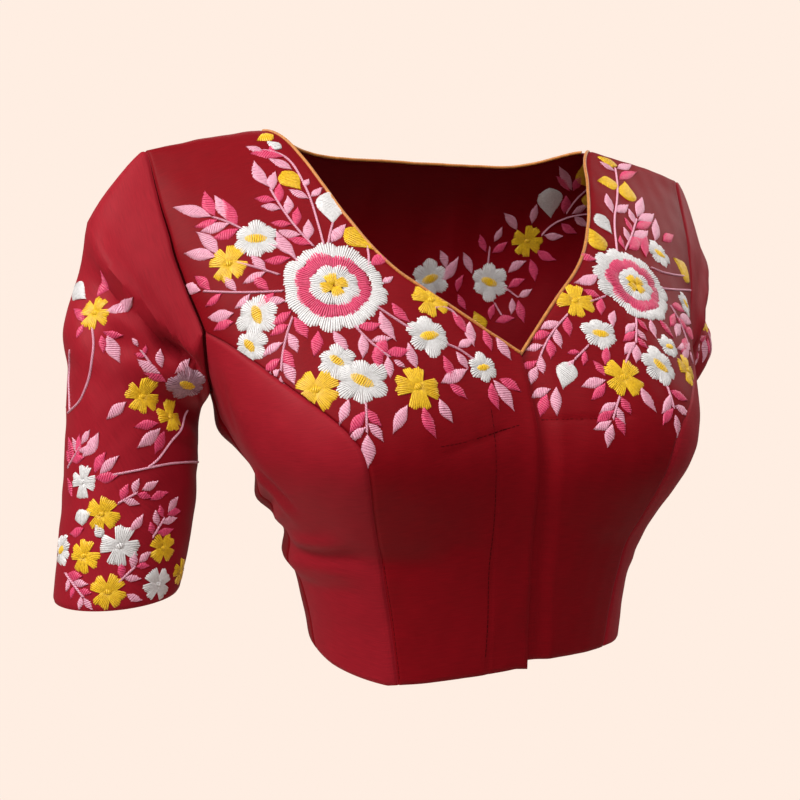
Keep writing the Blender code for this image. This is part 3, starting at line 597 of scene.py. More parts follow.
def shell(name, outside, inside, material, closed=False):
    """A closed thin sheet between two grids of points, with its weave coordinates."""
    rows, columns = outside.shape[:2]
    count = rows * columns
    number = np.arange(count).reshape(rows, columns)
    right = np.roll(number, -1, axis=1)
    last = columns if closed else columns - 1
    a, b = number[:-1, :last], right[:-1, :last]
    c, d = right[1:, :last], number[1:, :last]
    outer_faces = np.stack([a, b, c, d], axis=-1).reshape(-1, 4)
    inner_faces = outer_faces[:, ::-1] + count
    edges = [(number[0, :last], right[0, :last], 1), (number[-1, :last], right[-1, :last], -1)]
    if not closed:
        edges += [(number[:-1, column], number[1:, column], turn) for column, turn in ((0, -1), (-1, 1))]
    rims = [np.stack([e, e + count, f + count, f], axis=-1)[:, ::turn] for e, f, turn in edges]
    faces = np.concatenate([outer_faces, inner_faces] + rims)
    points = np.concatenate([outside.reshape(-1, 3), inside.reshape(-1, 3)])
    data = bpy.data.meshes.new(name)
    data.from_pydata(points.tolist(), [], faces.tolist())
    across, up = (np.tile(grid_length(outside, axis).reshape(-1), 2) for axis in (1, 0))
    layer = data.uv_layers.new(name="weave")
    loops = np.zeros(len(data.loops), np.int32)
    data.loops.foreach_get("vertex_index", loops)
    layer.data.foreach_set("uv", np.stack([across[loops], up[loops]], axis=-1).ravel())
    return keep(name, data, material)


def keep(name, data, material):
    """An object of a mesh, its faces smooth except over sharp edges."""
    data.materials.append(material)
    data.validate()
    data.shade_smooth()
    data.set_sharp_from_angle(angle=math.radians(SHARP_DEGREES))
    made = bpy.data.objects.new(name, data)
    bpy.context.scene.collection.objects.link(made)
    return made


def side_of(points, side):
    """Points worked out on the wearer's left, mirrored where the piece is on the right."""
    return points * np.array([1.0 if side == "left" else -1.0, 1.0, 1.0])


def surface(places, side):
    """Outer points and outward directions of a left-hand grid of places, on either side of the body."""
    angle, level = places[..., 0], places[..., 1]
    angle = angle if side == "left" else -angle
    return form(angle, level), form_normal(angle, level)


def underlap_shares(inner, outer):
    """Shares across the left front that give its hidden extension columns of its own."""
    start, levels = inner[: LOW_ROWS + 1].T
    end = outer[: LOW_ROWS + 1, 0]
    heights = smooth_form(start, levels)[:, 2]
    edge = place(np.full(len(heights), OVERLAP_EDGE_X + TUCK_MARGIN), heights)[:, 0]
    width = (edge - start) / (end - start)
    count = UNDERLAP_COLUMNS + FRONT_COLUMNS
    upwards = np.linspace(0, 1, HIGH_ROWS + 1)[1:]
    width = np.concatenate([width, width[-1] + upwards * (UNDERLAP_COLUMNS / count - width[-1])])[:, None]
    extension = np.linspace(0, 1, UNDERLAP_COLUMNS + 1)[:-1]
    visible = np.linspace(0, 1, FRONT_COLUMNS + 1)
    return np.concatenate([width * extension, width + (1 - width) * visible], axis=1)


# Lines pressed or stitched into the fronts, in metres from the overlap edge and up from the origin
FACING = {"width": 0.0265, "top": -0.150, "depth": 0.00035, "reach": 0.0012}
DART_COLUMNS = ("side", "from_x", "from_z", "to_x", "to_z")
DARTS = (
    ("right", 0.008, -0.188, 0.062, -0.203),
    ("left", 0.012, -0.184, 0.078, -0.182),
)
DART_STEP = {
    "depth": 0.0009, "reach": 0.0016, "fade": 0.012, "edge_share": 0.6, "shade_share": 0.4,
    "start": 8, "end": 4,
}


def stitched_lines(points, side):
    """How deep the facing's stitching and the dart press into a front, at its points."""
    z = points[..., 2]
    signed = points[..., 0] * (1.0 if side == "left" else -1.0)
    dip = np.zeros(z.shape)
    if side == "right":
        away = signed - (FACING["width"] - OVERLAP_EDGE_X)
        dip += FACING["depth"] * near(away, FACING["reach"]) * (z < FACING["top"])
    for row in DARTS:
        dart = dict(zip(DART_COLUMNS, row))
        if dart["side"] != side:
            continue
        share = (signed - dart["from_x"]) / (dart["to_x"] - dart["from_x"])
        line = dart["from_z"] + (dart["to_z"] - dart["from_z"]) * share
        below = line - z
        ends = ease(share * DART_STEP["start"]) * ease((1 - share) * DART_STEP["end"])
        step = DART_STEP["edge_share"] * near(below, DART_STEP["reach"])
        shade = DART_STEP["shade_share"] * ease(1 - below / DART_STEP["fade"]) * (below > 0)
        dip += DART_STEP["depth"] * ends * (step + shade)
    return dip


def front_panel(name, points, outward, side, inner_gap, rolls, material):
    """A front panel's cloth, drawn back from its seams, its faces turned outwards on either side."""
    points = pulled_in(points, inner_gap, SEAM_GAP / 2, axis=1)
    points = pulled_in(points, 0.0, SEAM_GAP / 2, axis=0)
    points = rolled(points, outward, {"outer": 1.0, "top": 1.0, "bottom": HEM_SHARE, **rolls})
    order = slice(None) if side == "left" else slice(None, None, -1)
    outside, inside = points[:, order], (points - outward * THICKNESS)[:, order]
    return shell(f"cloth_front_{side}_{name}", outside, inside, material)


def front_centre(side, material):
    """The centre panel of one front; on the left it runs on under the right one."""
    low, high = centre_line(side, LOW_ROWS, HIGH_ROWS)
    inner = np.concatenate([low, high[1:]])
    outer = np.concatenate([princess_line(side, LOW_ROWS), front_armhole_line(HIGH_ROWS)[1:]])
    shares = underlap_shares(inner, outer) if side == "left" else None
    columns = FRONT_COLUMNS + (UNDERLAP_COLUMNS if side == "left" else 0)
    share = np.linspace(0, 1, columns + 1)
    bottom_angle = inner[0, 0] + share * (outer[0, 0] - inner[0, 0])
    bottom = np.stack([bottom_angle, hem_place(np.abs(bottom_angle), side)[:, 1]], axis=-1)
    top = inner[-1] + share[:, None] * (outer[-1] - inner[-1])
    places = edge_rows(edge_rows(patch(inner, outer, bottom, top, shares), 0), 1)
    points, outward = surface(places, side)
    if side == "left":
        tuck = TUCK_DEPTH * (1 - ease((points[..., 0] - OVERLAP_EDGE_X - TUCK_MARGIN) / TUCK_RUN))
        points = points - outward * tuck[..., None]
    points = points - outward * stitched_lines(points, side)[..., None]
    inner_gap = np.zeros(len(places))
    inner_gap[LOW_ROWS + len(EDGE_SHARES) :] = 2 * PIPING_RADIUS
    return front_panel("centre", points, outward, side, inner_gap, {"inner": NECK_SHARE}, material)


def front_side(side, material):
    """The side panel of one front, from the princess seam to the side seam."""
    inner = princess_line(side, LOW_ROWS)
    outer = side_line(side, LOW_ROWS)
    share = np.linspace(0, 1, SIDE_COLUMNS + 1)
    bottom = hem_place(inner[0, 0] + share * (outer[0, 0] - inner[0, 0]), side)
    places = patch(inner, outer, bottom, underarm_line(side, SIDE_COLUMNS))
    points, outward = surface(edge_rows(edge_rows(places, 0), 1), side)
    return front_panel("side", points, outward, side, SEAM_GAP / 2, {"inner": 1.0}, material)


# The neckline's ends are drawn on to the ridge, in the direction of the points a few steps inside them
NECK_END_ROWS = ((0, 4), (-1, -5))


def back_neck_line(margin):
    """The back neckline from one neck point to the other, moved into the back by a margin."""
    rows = [place(NECK_POINT_X, back=True)]
    for width_share, depth_share in BACK_NECK_SHAPE:
        rows.append(place(NECK_POINT_X * width_share, -NECK_DEPTH_BACK * depth_share, back=True))
    rows.append(place(0.0, -NECK_DEPTH_BACK, back=True))
    rows += [(2 * math.pi - angle, level) for angle, level in reversed(rows[:-1])]
    line = moved(even_line(rows, BACK_NECK_COLUMNS), margin)
    for end, beside in NECK_END_ROWS:
        beyond = (RIDGE - line[end, 1]) / (line[end, 1] - line[beside, 1])
        line[end] += (line[end] - line[beside]) * beyond
    return line


def mirrored(places):
    """A left-hand line of places, on the right."""
    return np.stack([2 * math.pi - places[:, 0], places[:, 1]], axis=-1)


def back_grid():
    """Places of the whole back, its first column at the wearer's left."""
    sides = {}
    for side in ("left", "right"):
        low = side_line(side, BACK_LOW_ROWS)
        sides[side] = np.concatenate([low, back_armhole_line(side, BACK_HIGH_ROWS)[1:]])
    left, right = sides["left"], mirrored(sides["right"])
    neck = back_neck_line(2 * PIPING_RADIUS)
    share = np.linspace(0, 1, BACK_SHOULDER_COLUMNS + 1)[:, None]
    left_shoulder = left[-1] + share * (neck[0] - left[-1])
    right_shoulder = neck[-1] + share * (right[-1] - neck[-1])
    top = np.concatenate([left_shoulder, neck[1:], right_shoulder[1:]])
    angle = np.linspace(math.pi / 2, 3 * math.pi / 2, len(top))
    on_left = angle <= math.pi
    folded = np.where(on_left, angle, 2 * math.pi - angle)
    level = np.where(on_left, hem_place(folded, "left")[:, 1], hem_place(folded, "right")[:, 1])
    return patch(left, right, np.stack([angle, level], axis=-1), top)


def back_panel(material):
    """The back, cut in one piece."""
    places = edge_rows(edge_rows(back_grid(), 0), 1)
    points, outward = surface(places, "left")
    top_gap = np.full(places.shape[1], SEAM_GAP / 2)
    shoulder = BACK_SHOULDER_COLUMNS + len(EDGE_SHARES)
    top_gap[shoulder + 1 : -shoulder - 1] = 0.0
    points = pulled_in(points, SEAM_GAP / 2, SEAM_GAP / 2, axis=1)
    points = pulled_in(points, 0.0, top_gap, axis=0)
    points = rolled(points, outward, {"inner": 1.0, "outer": 1.0, "top": NECK_SHARE, "bottom": HEM_SHARE})
    return shell("cloth_back", points, points - outward * THICKNESS, material)


def armhole_ring(side):
    """The armhole as a ring of places, from the shoulder point down the front, under and up the back."""
    front = front_armhole_line(SLEEVE_RING["front"])[::-1]
    under = underarm_line(side, SLEEVE_RING["under"])
    back = back_armhole_line(side, SLEEVE_RING["back"])
    return np.concatenate([front, under[1:], back[1:-1]])


def sleeve_frame(side):
    """Rings of outer points, the armhole's own first, their angles and the way into the body's panels."""
    points, outward = surface(armhole_ring(side), side)
    points, outward = side_of(points, side), side_of(outward, side)
    along = np.roll(points, -1, axis=0) - np.roll(points, 1, axis=0)
    into_panel = unit(np.cross(along, outward))
    front_count = SLEEVE_RING["front"] + SLEEVE_RING["under"]
    run = run_length(points)
    front_share = run[: front_count + 1] / run[front_count]
    back_run = run[front_count:] - run[front_count]
    back_total = back_run[-1] + np.linalg.norm(points[0] - points[-1])
    turn = np.concatenate([front_share, 1 + back_run[1:] / back_total]) * math.pi
    rings = [points - into_panel * SEAM_GAP / 2]
    inner_share = (1 - np.cos(turn)) / 2
    for row in SLEEVE_RINGS[side]:
        ring = dict(zip(SLEEVE_COLUMNS, row))
        rings.append(np.stack([
            ring["centre_x"] + ring["half_width"] * np.cos(turn),
            ring["centre_y"] - ring["half_depth"] * np.sin(turn),
            ring["outer_height"] + (ring["inner_height"] - ring["outer_height"]) * inner_share
            - ring["front_drop"] * np.sin(turn),
        ], axis=-1))
    return np.array(rings), turn, into_panel


def sleeve_surface(rings, turn, at, lean):
    """Points of the sleeve at ring numbers between the armhole, 0, and the hem."""
    towards = np.stack([
        CAP_OUTWARD * (UNDERARM_PULL + (1 - UNDERARM_PULL) * (1 + np.cos(turn)) / 2),
        lean - CAP_FORWARD_SHARE * CAP_OUTWARD * np.sin(turn),
        -CAP_DOWNWARD * np.ones(len(turn)),
    ], axis=-1)
    slopes = np.gradient(rings, axis=0)
    reach = np.linalg.norm(rings[1] - rings[0], axis=1)
    slopes[0] = towards * np.minimum(1.0, reach / CAP_FULL_REACH)[:, None]
    first = np.clip(np.floor(at).astype(int), 0, len(rings) - 2)
    s = (at - first)[:, None, None]
    return (
        (2 * s**3 - 3 * s**2 + 1) * rings[first] + (s**3 - 2 * s**2 + s) * slopes[first]
        + (3 * s**2 - 2 * s**3) * rings[first + 1] + (s**3 - s**2) * slopes[first + 1]
    )


def ring_normals(points):
    """Outward directions of a tube's points, from their neighbours."""
    round_it = np.roll(points, -1, axis=1) - np.roll(points, 1, axis=1)
    return unit(np.cross(round_it, np.gradient(points, axis=0)))


# Each sleeve's outer points and the angle of each of its columns, kept for the embroidery
SLEEVE_GRIDS = {}
SLEEVE_TURNS = np.zeros(sum(SLEEVE_RING.values()))


def sleeve(side, material):
    """One sleeve from the armhole to the cuff, its folds raised."""
    rings, turn, into_panel = sleeve_frame(side)
    even = np.linspace(0, len(rings) - 1, SLEEVE_STEPS + 1)
    at = edge_rows(even[:, None], 0)[:, 0]
    points = sleeve_surface(rings, turn, at, CAP_LEAN[side])
    outward = ring_normals(points)
    height = points[..., 2]
    turned = np.broadcast_to(np.degrees(turn), height.shape)
    lift = fold_rise(SLEEVE_FOLDS + SLEEVE_CREASES, side, turned, height, SLEEVE_FOLD_RADIUS)
    fade = ease(at / SLEEVE_FOLD_FADE["armhole"]) * ease((at[-1] - at) / SLEEVE_FOLD_FADE["hem"])
    lift = (lift + ripple(points * SLEEVE_RIPPLE_SCALE)) * fade[:, None]
    for edge, share in ((points[:1], 1.0), (points[-1:], HEM_SHARE)):
        lift -= share * SEAM_ROLL * near(np.linalg.norm(points - edge, axis=-1), SEAM_ROLL_REACH)
    points = points + outward * lift[..., None]
    outward = ring_normals(points)
    inward = -outward
    crossing = np.maximum(0.0, (inward[0] * into_panel).sum(axis=1))[:, None]
    inward[0] = unit(inward[0] - crossing * into_panel)
    inside = points + inward * THICKNESS
    SLEEVE_GRIDS[side] = side_of(points, side)
    SLEEVE_TURNS[:] = turn
    order = slice(None) if side == "left" else slice(None, None, -1)
    outer, inner = side_of(points, side)[:, order], side_of(inside, side)[:, order]
    return shell(f"cloth_sleeve_{side}", outer, inner, material, closed=True)


# The piping's fineness and ribs, and how the left one ducks under the right front
PIPING_STEP = 0.00045
PIPING_SIDES = 10
PIPING_RIB = 0.0022
PIPING_RIB_RISE = 0.05
PIPING_FINENESS = 3
PIPING_SHOULDER_CLEAR = 0.0004
PIPING_UNDERLAP = 0.004
PIPING_DUCK = 0.0012
PIPING_DUCK_RADIANS = 0.10


def ribbed_tube(name, centres, outward, material):
    """A covered cord along a line of points, with the slight slanting ribs of a bias-cut strip."""
    clear = np.abs(centres[:, 1]) > PIPING_SHOULDER_CLEAR
    centres, outward = centres[clear], outward[clear]
    run = run_length(centres)
    want = np.linspace(0, run[-1], int(run[-1] / PIPING_STEP) + 1)
    line = read_at(want, run, centres)
    out = unit(read_at(want, run, outward))
    beside = unit(np.cross(unit(np.gradient(line, axis=0)), out))
    turn = np.linspace(0, 2 * math.pi, PIPING_SIDES, endpoint=False)
    phase = 2 * math.pi * want[:, None] / PIPING_RIB + turn
    radius = PIPING_RADIUS * (1 + PIPING_RIB_RISE * np.cos(phase))
    points = line[:, None] + radius[..., None] * (
        np.cos(turn)[:, None] * out[:, None] + np.sin(turn)[:, None] * beside[:, None]
    )
    number = np.arange(points.shape[0] * PIPING_SIDES).reshape(-1, PIPING_SIDES)
    right = np.roll(number, -1, axis=1)
    faces = np.stack([number[:-1], right[:-1], right[1:], number[1:]], axis=-1).reshape(-1, 4).tolist()
    faces += [number[0].tolist()[::-1], number[-1].tolist()]
    data = bpy.data.meshes.new(name)
    data.from_pydata(points.reshape(-1, 3).tolist(), [], faces)
    return keep(name, data, material)


def front_piping(side, material):
    """The cord along one front's neckline; the left one runs in under the right front."""
    _, high = centre_line(side, LOW_ROWS, HIGH_ROWS * PIPING_FINENESS)
    if side == "left":
        high = high[high[:, 0] > place(OVERLAP_EDGE_X - PIPING_UNDERLAP, -NECK_DEPTH_FRONT)[0]]
    points, outward = surface(high, side)
    along = unit(np.gradient(points, axis=0))
    into_panel = unit(np.cross(along, outward)) * (1.0 if side == "left" else -1.0)
    centres = points + into_panel * PIPING_RADIUS - outward * WALL / 2
    if side == "left":
        from_edge = high[:, 0] - place(OVERLAP_EDGE_X, -NECK_DEPTH_FRONT)[0]
        under = 1 - ease(from_edge / PIPING_DUCK_RADIANS)
        centres = centres - outward * (PIPING_DUCK * under)[:, None]
    return ribbed_tube(f"cord_{side}", centres, outward, material)


def back_piping(material):
    """The cord along the back neckline."""
    points, outward = surface(back_neck_line(PIPING_RADIUS), "left")
    return ribbed_tube("cord_back", points - outward * WALL / 2, outward, material)


# Colours, as linear red, green and blue, and how glossy each finish is
# The cloth's red comes in two copies: the darker one is painted shade, for the fronts' centre panels and the
# back; the brighter one is painted light, for the side panels and the sleeves.
CLOTH_TONES = {
    "painted_shade": ((0.150, 0.0010, 0.0042), (0.190, 0.0018, 0.0060)),
    "painted_light": ((0.225, 0.0060, 0.0135), (0.275, 0.0095, 0.0190)),
}
PIPING_TONES = ((0.34, 0.105, 0.012), (0.52, 0.20, 0.028))
THREAD_COLOURS = {
    "white": ((0.72, 0.73, 0.74), (0.55, 0.55, 0.55)),
    "pink": ((0.66, 0.070, 0.175), (0.50, 0.034, 0.105)),
    "pale": ((0.72, 0.38, 0.49), (0.56, 0.25, 0.35)),
    "yellow": ((0.82, 0.56, 0.018), (0.58, 0.34, 0.008)),
    # A darker purplish white: painted shade on a white flower under the arm
    "white_in_painted_shade": ((0.48, 0.30, 0.38), (0.30, 0.16, 0.22)),
    "red": ((0.060, 0.0008, 0.0024), (0.040, 0.0005, 0.0016)),
}
DRIFTS = {
    "cloth": {"scale": 9.0, "detail": 3.0, "sharpness": 0.9},
    "piping": {"scale": 260.0, "detail": 2.0, "sharpness": 0.6},
    "thread": {"scale": 700.0, "detail": 2.0, "sharpness": 0.55},
}
GRAINS = {"piping": {"scale": 2200.0, "strength": 0.3}, "thread": {"scale": 3000.0, "strength": 0.25}}
FINISHES = {
    "cloth": {
        "Roughness": 0.52, "Specular IOR Level": 0.07, "Sheen Weight": 0.03, "Sheen Roughness": 0.40,
        "Sheen Tint": (1.0, 0.45, 0.50, 1.0),
    },
    "piping": {"Roughness": 0.5, "Sheen Weight": 0.15},
    "thread": {"Roughness": 0.45, "Specular IOR Level": 0.35, "Sheen Weight": 0.06},
    "sewing": {"Roughness": 0.45, "Specular IOR Level": 0.05, "Sheen Weight": 0.0},
    "floor": {"Roughness": 0.9, "Specular IOR Level": 0.1},
}
WEAVE = {"period": 0.00042, "bump": 0.10, "shade": 0.03, "slub_scale": 900.0, "slub_detail": 2.0}
SLUBS = {"stretch": (90.0, 1400.0, 1.0), "detail": 4.0, "share": 0.62, "base": 0.66}
BUMP_DISTANCE = 0.0001


def nodes_of(name, finish):
    """A new material with its finish set, its node tree and its shader."""
    material = bpy.data.materials.new(name)
    material.use_nodes = True
    tree = material.node_tree
    shader = tree.nodes["Principled BSDF"]
    for socket, value in FINISHES[finish].items():
        shader.inputs[socket].default_value = value
    return material, tree, shader


def linked(tree, kind, **inputs):
    """A node with its inputs set from values or other nodes' outputs; i0 names the input numbered 0."""
    node = tree.nodes.new(kind)
    for name, value in inputs.items():
        socket = node.inputs[int(name[1:]) if name[1:].isdigit() else name]
        if isinstance(value, bpy.types.NodeSocket):
            tree.links.new(value, socket)
        else:
            socket.default_value = value
    return node


def math_node(tree, operation, a, b=0.0):
    """A Math node's output."""
    node = linked(tree, "ShaderNodeMath", i0=a, i1=b)
    node.operation = operation
    return node.outputs[0]


def noise_of(tree, spot, scale, detail):
    """A noise's height."""
    return linked(tree, "ShaderNodeTexNoise", Vector=spot, Scale=scale, Detail=detail).outputs["Fac"]


def two_tone(tree, low, high, spot, scale, detail, sharpness):
    """A colour that drifts between two tones with a noise."""
    ramp = tree.nodes.new("ShaderNodeValToRGB")
    for element, tone, side in zip(ramp.color_ramp.elements, (low, high), (-0.5, 0.5)):
        element.position = 0.5 + side * sharpness
        element.color = (*tone, 1.0)
    tree.links.new(noise_of(tree, spot, scale, detail), ramp.inputs["Fac"])
    return ramp.outputs["Color"]


def bumped(tree, shader, height, strength):
    """Joins a height to a shader as a bump."""
    bump = linked(tree, "ShaderNodeBump", Height=height, Strength=strength, Distance=BUMP_DISTANCE)
    tree.links.new(bump.outputs["Normal"], shader.inputs["Normal"])


def cloth_material(lighting_copy):
    """Deep red plain weave with a soft silky sheen; a darker copy holds painted shade, a brighter one painted
    light.
    """
    material, tree, shader = nodes_of("red_silk_cotton_" + lighting_copy, "cloth")
    spot = tree.nodes.new("ShaderNodeTexCoord").outputs["Object"]
    tone = two_tone(tree, *CLOTH_TONES[lighting_copy], spot, **DRIFTS["cloth"])
    layer = tree.nodes.new("ShaderNodeUVMap")
    layer.uv_map = "weave"
    weave = layer.outputs["UV"]
    parts = linked(tree, "ShaderNodeSeparateXYZ", i0=weave)
    turn = 2 * math.pi / WEAVE["period"]
    waves = [math_node(tree, "SINE", math_node(tree, "MULTIPLY", parts.outputs[i], turn)) for i in ("X", "Y")]
    checks = math_node(tree, "MULTIPLY", *waves)
    slub = noise_of(tree, weave, WEAVE["slub_scale"], WEAVE["slub_detail"])
    stretched = linked(tree, "ShaderNodeMapping", Vector=weave, Scale=SLUBS["stretch"]).outputs["Vector"]
    slubs = noise_of(tree, stretched, 1.0, SLUBS["detail"])
    uneven = math_node(tree, "MULTIPLY_ADD", slubs, SLUBS["share"])
    uneven.node.inputs[2].default_value = SLUBS["base"]
    shade = math_node(tree, "ADD", math_node(tree, "MULTIPLY", checks, WEAVE["shade"]), uneven)
    mix = tree.nodes.new("ShaderNodeMix")
    mix.data_type = "RGBA"
    mix.blend_type = "MULTIPLY"
    mix.inputs[0].default_value = 1.0
    tree.links.new(tone, mix.inputs[6])
    tree.links.new(shade, mix.inputs[7])
    tree.links.new(mix.outputs[2], shader.inputs["Base Color"])
    bumped(tree, shader, math_node(tree, "ADD", checks, slub), WEAVE["bump"])
    return material


def grained(name, kind, finish, low, high):
    """A covered cord or floss: a tone that drifts from place to place, over a fine grain."""
    material, tree, shader = nodes_of(name, finish)
    spot = tree.nodes.new("ShaderNodeTexCoord").outputs["Object"]
    tree.links.new(two_tone(tree, low, high, spot, **DRIFTS[kind]), shader.inputs["Base Color"])
    bumped(tree, shader, noise_of(tree, spot, GRAINS[kind]["scale"], 1.0), GRAINS[kind]["strength"])
    return material


def thread_material(name):
    """Shiny embroidery floss of one colour, or the duller sewing thread in the cloth's red."""
    high, low = THREAD_COLOURS[name]
    return grained("floss_" + name, "thread", "sewing" if name == "red" else "thread", low, high)


def floor_material():
    """A matte finish for the floor."""
    material, _, shader = nodes_of("pale_floor", "floor")
    shader.inputs["Base Color"].default_value = (*PALE, 1.0)
    return material


# Embroidery. Every motif is a set of satin bands: threads side by side, each a low ridge with a valley
# next to it, its ends tucked into the cloth.
THREAD_RISE = 0.00030
THREAD_SHARES = np.array([0.0, 0.22, 0.78])
GAPS = {"open": (-0.55, 0.45), "close": (-0.10, 0.60)}
TUCK_BELOW = 0.00014
ALONG_THREAD = np.array([0.0, 0.10, 0.36, 0.64, 0.90, 1.0])
THREAD_PROFILE = np.array([0.0, 0.72, 1.0, 1.0, 0.72, 0.0])
PITCH = {"leaf": 0.00150, "petal": 0.00140, "ring": 0.00170, "stem": 0.00170}
PAD = {"leaf": 0.00050, "petal": 0.00060, "ring": 0.00060, "heart": 0.00100, "stem": 0.00050}
STEM = {"width": 0.0015, "slant": 0.8, "valley_width": 0.5, "valley_pad": 0.1}
PROBE_REACH = 0.022
PROBE_STEEPEST = 0.25
SHORTEST_THREAD = 0.0007
EDGE_ROUNDS = 5
SMOOTHINGS = 24
PIXEL_STEP = 2.5
PHOTO_SIDE = 800
GRAZING = 0.2
CHANCE = np.random.default_rng(11)

# Uneven hand stitching: how far a thread's ends reach, first for ridges and then for valleys, and its height
FAR_REACH = ((0.0, 1.0), (-1.0, -0.3))
NEAR_REACH = ((0.0, 0.7), (-0.6, 0.0))
RIDGE_PADS = (0.85, 1.12)


def band(thread, start, end, pitch, pad, ragged, closed=False, gaps="close"):
    """Threads from one line of points to another: plane lines, which of them are ridges and their rise."""
    steps = [np.linalg.norm(np.diff(line, axis=0), axis=1) for line in (start, end)]
    run = np.concatenate([[0.0], np.cumsum(np.maximum(*steps))])
    count = max(3, int(round(run[-1] / pitch)))
    lines = 3 * count if closed else 3 * count + 1
    number = np.arange(lines)
    owner = number // 3
    ridge = number % 3 > 0

    def uneven(ridges, valleys):
        return np.where(ridge, CHANCE.uniform(*ridges, lines)[owner], CHANCE.uniform(*valleys, lines))

    want = (owner + THREAD_SHARES[number % 3]) * run[-1] / count
    a, b = read_at(want, run, start), read_at(want, run, end)
    pads = np.interp(want, run, np.broadcast_to(pad, run.shape))
    way = unit(b - a)
    b = b + way * (uneven(*FAR_REACH) * ragged)[:, None]
    a = a - way * (uneven(*NEAR_REACH) * ragged)[:, None]
    pads = pads * uneven(RIDGE_PADS, GAPS[gaps])
    return {"thread": thread, "a": a, "b": b, "ridge": ridge, "pad": pads, "closed": closed}


def spun(points, turn):
    """Plane points turned about the motif's foot."""
    cos, sin = math.cos(turn), math.sin(turn)
    return points @ np.array([[cos, sin], [-sin, cos]])


# Leaves and buds: the threads' slant, two powers that shape the outline, and how the padding rises
SLANTED = {
    "leaf": {"slant": 0.15, "lean": 0.94, "point": 1.25, "rim": 0.35, "stitch": "leaf", "ragged": 0.00055},
    "bud": {"slant": 0.25, "lean": 1.55, "point": 0.75, "rim": 0.5, "stitch": "petal", "ragged": 0.0006},
}
SLANTED_POINTS = 41
PAD_POWER = 0.6


def slanted(kind, thread, length, width, bend=0.0):
    """A pointed leaf, or a bud with a round head, its threads slanting across it."""
    shape = SLANTED[kind]
    s = np.linspace(0, 1, SLANTED_POINTS)
    ahead = s * (1 + shape["slant"])

    def edge(t, sign):
        t = np.clip(t, 0, 1)
        half = width / 2 * np.sin(math.pi * t ** shape["lean"]) ** shape["point"]
        return np.stack([length * t, sign * half + bend * length * 4 * t * (1 - t)], axis=-1)

    rise = PAD[shape["stitch"]] * (shape["rim"] + (1 - shape["rim"]) * np.sin(math.pi * s) ** PAD_POWER)
    low, high = edge(ahead - shape["slant"], -1), edge(ahead, 1)
    return [band(thread, low, high, PITCH[shape["stitch"]], rise, shape["ragged"])]


FAN = {"points": 33, "round": 0.16, "notch_width": 0.25, "narrow": 0.10, "fall": 0.45, "ragged": 0.0009}


def fan(thread, length, width, foot, notch, turn, inner):
    """A petal that widens from its foot to a rounded and slightly notched rim."""
    s = np.linspace(-1, 1, FAN["points"])
    rim = length * (1.0 - FAN["round"] * s**2 - notch * near(s, FAN["notch_width"]))
    end = np.stack([rim, width / 2 * s * (1 - FAN["narrow"] * s**2)], axis=-1)
    start = np.stack([np.full(s.shape, inner), width / 2 * foot * s], axis=-1)
    rise = PAD["petal"] * (1 - FAN["fall"] * s**2)
    return band(thread, spun(start, turn), spun(end, turn), PITCH["petal"], rise, FAN["ragged"])


OVAL = {"points": 25, "reach": 0.97, "rim": 0.45, "ragged": 0.0004}


def oval(thread, length, width, turn):
    """A domed oval of threads that lie across it."""
    s = np.linspace(-OVAL["reach"], OVAL["reach"], OVAL["points"])
    dome = np.sqrt(1 - s**2)
    low, high = (spun(np.stack([length / 2 * s, sign * width / 2 * dome], axis=-1), turn) for sign in (-1, 1))
    pad = PAD["heart"] * (OVAL["rim"] + (1 - OVAL["rim"]) * dome)
    return band(thread, low, high, PITCH["petal"], pad, OVAL["ragged"])


HOOP = {"points": 241, "sizes": (0.88, 1.10), "lobe_power": 0.55, "core_wave": 0.05, "valley": 0.70}


def hoop(thread, inner, outer, lobes, depth, pad, ragged, turn):
    """A ring of threads that run outwards, its rim in uneven lobes."""
    angle = 2 * math.pi * np.linspace(0, 1, HOOP["points"]) + turn
    sizes = CHANCE.uniform(*HOOP["sizes"], lobes)
    lobe = np.abs(np.sin(lobes * angle / 2)) ** HOOP["lobe_power"]
    size = sizes[np.floor(lobes * np.mod(angle, 2 * math.pi) / (2 * math.pi)).astype(int) % lobes]
    rim = outer * (1 - depth * (1 - lobe)) * (1 + (size - 1) * lobe)
    core = inner * (1 + HOOP["core_wave"] * np.sin(3 * angle + 1.0))
    way = np.stack([np.cos(angle), np.sin(angle)], axis=-1)
    rise = pad * (HOOP["valley"] + (1 - HOOP["valley"]) * lobe)
    return band(thread, core[:, None] * way, rim[:, None] * way, PITCH["ring"], rise, ragged, True, "open")


# Flowers, their measures as shares of their size; the large one's small heart is a cross of its own
CROSS = {
    "sway": 0.09, "length": (0.93, 1.05), "width": 1.14, "widths": (0.92, 1.06), "foot": 0.42, "notch": 0.10,
    "inner": 0.08, "heart_length": 0.42, "heart_width": 0.30, "heart_turn": 0.6,
}
DAISY = {
    "inner": 0.14, "depth": 0.30, "ragged": 0.0012,
    "heart_length": 0.98, "heart_width": 0.50, "heart_turn": 0.35,
}
# The large flower's rings: thread, inner and outer share, lobes, their depth, padding, raggedness and turn
ROSETTE_RINGS = (
    ("white", 0.68, 1.00, 13, 0.10, 1.0, 0.0016, 0.0),
    ("pink", 0.42, 0.75, 8, 0.12, 1.5, 0.0012, 0.4),
    ("white", 0.17, 0.48, 8, 0.16, 2.0, 0.0014, 0.9),
)
ROSETTE_HEART = {"length": 0.29, "width": 0.31, "foot": 0.45, "inner": 0.02, "turn": 0.5, "pads": 1.4}


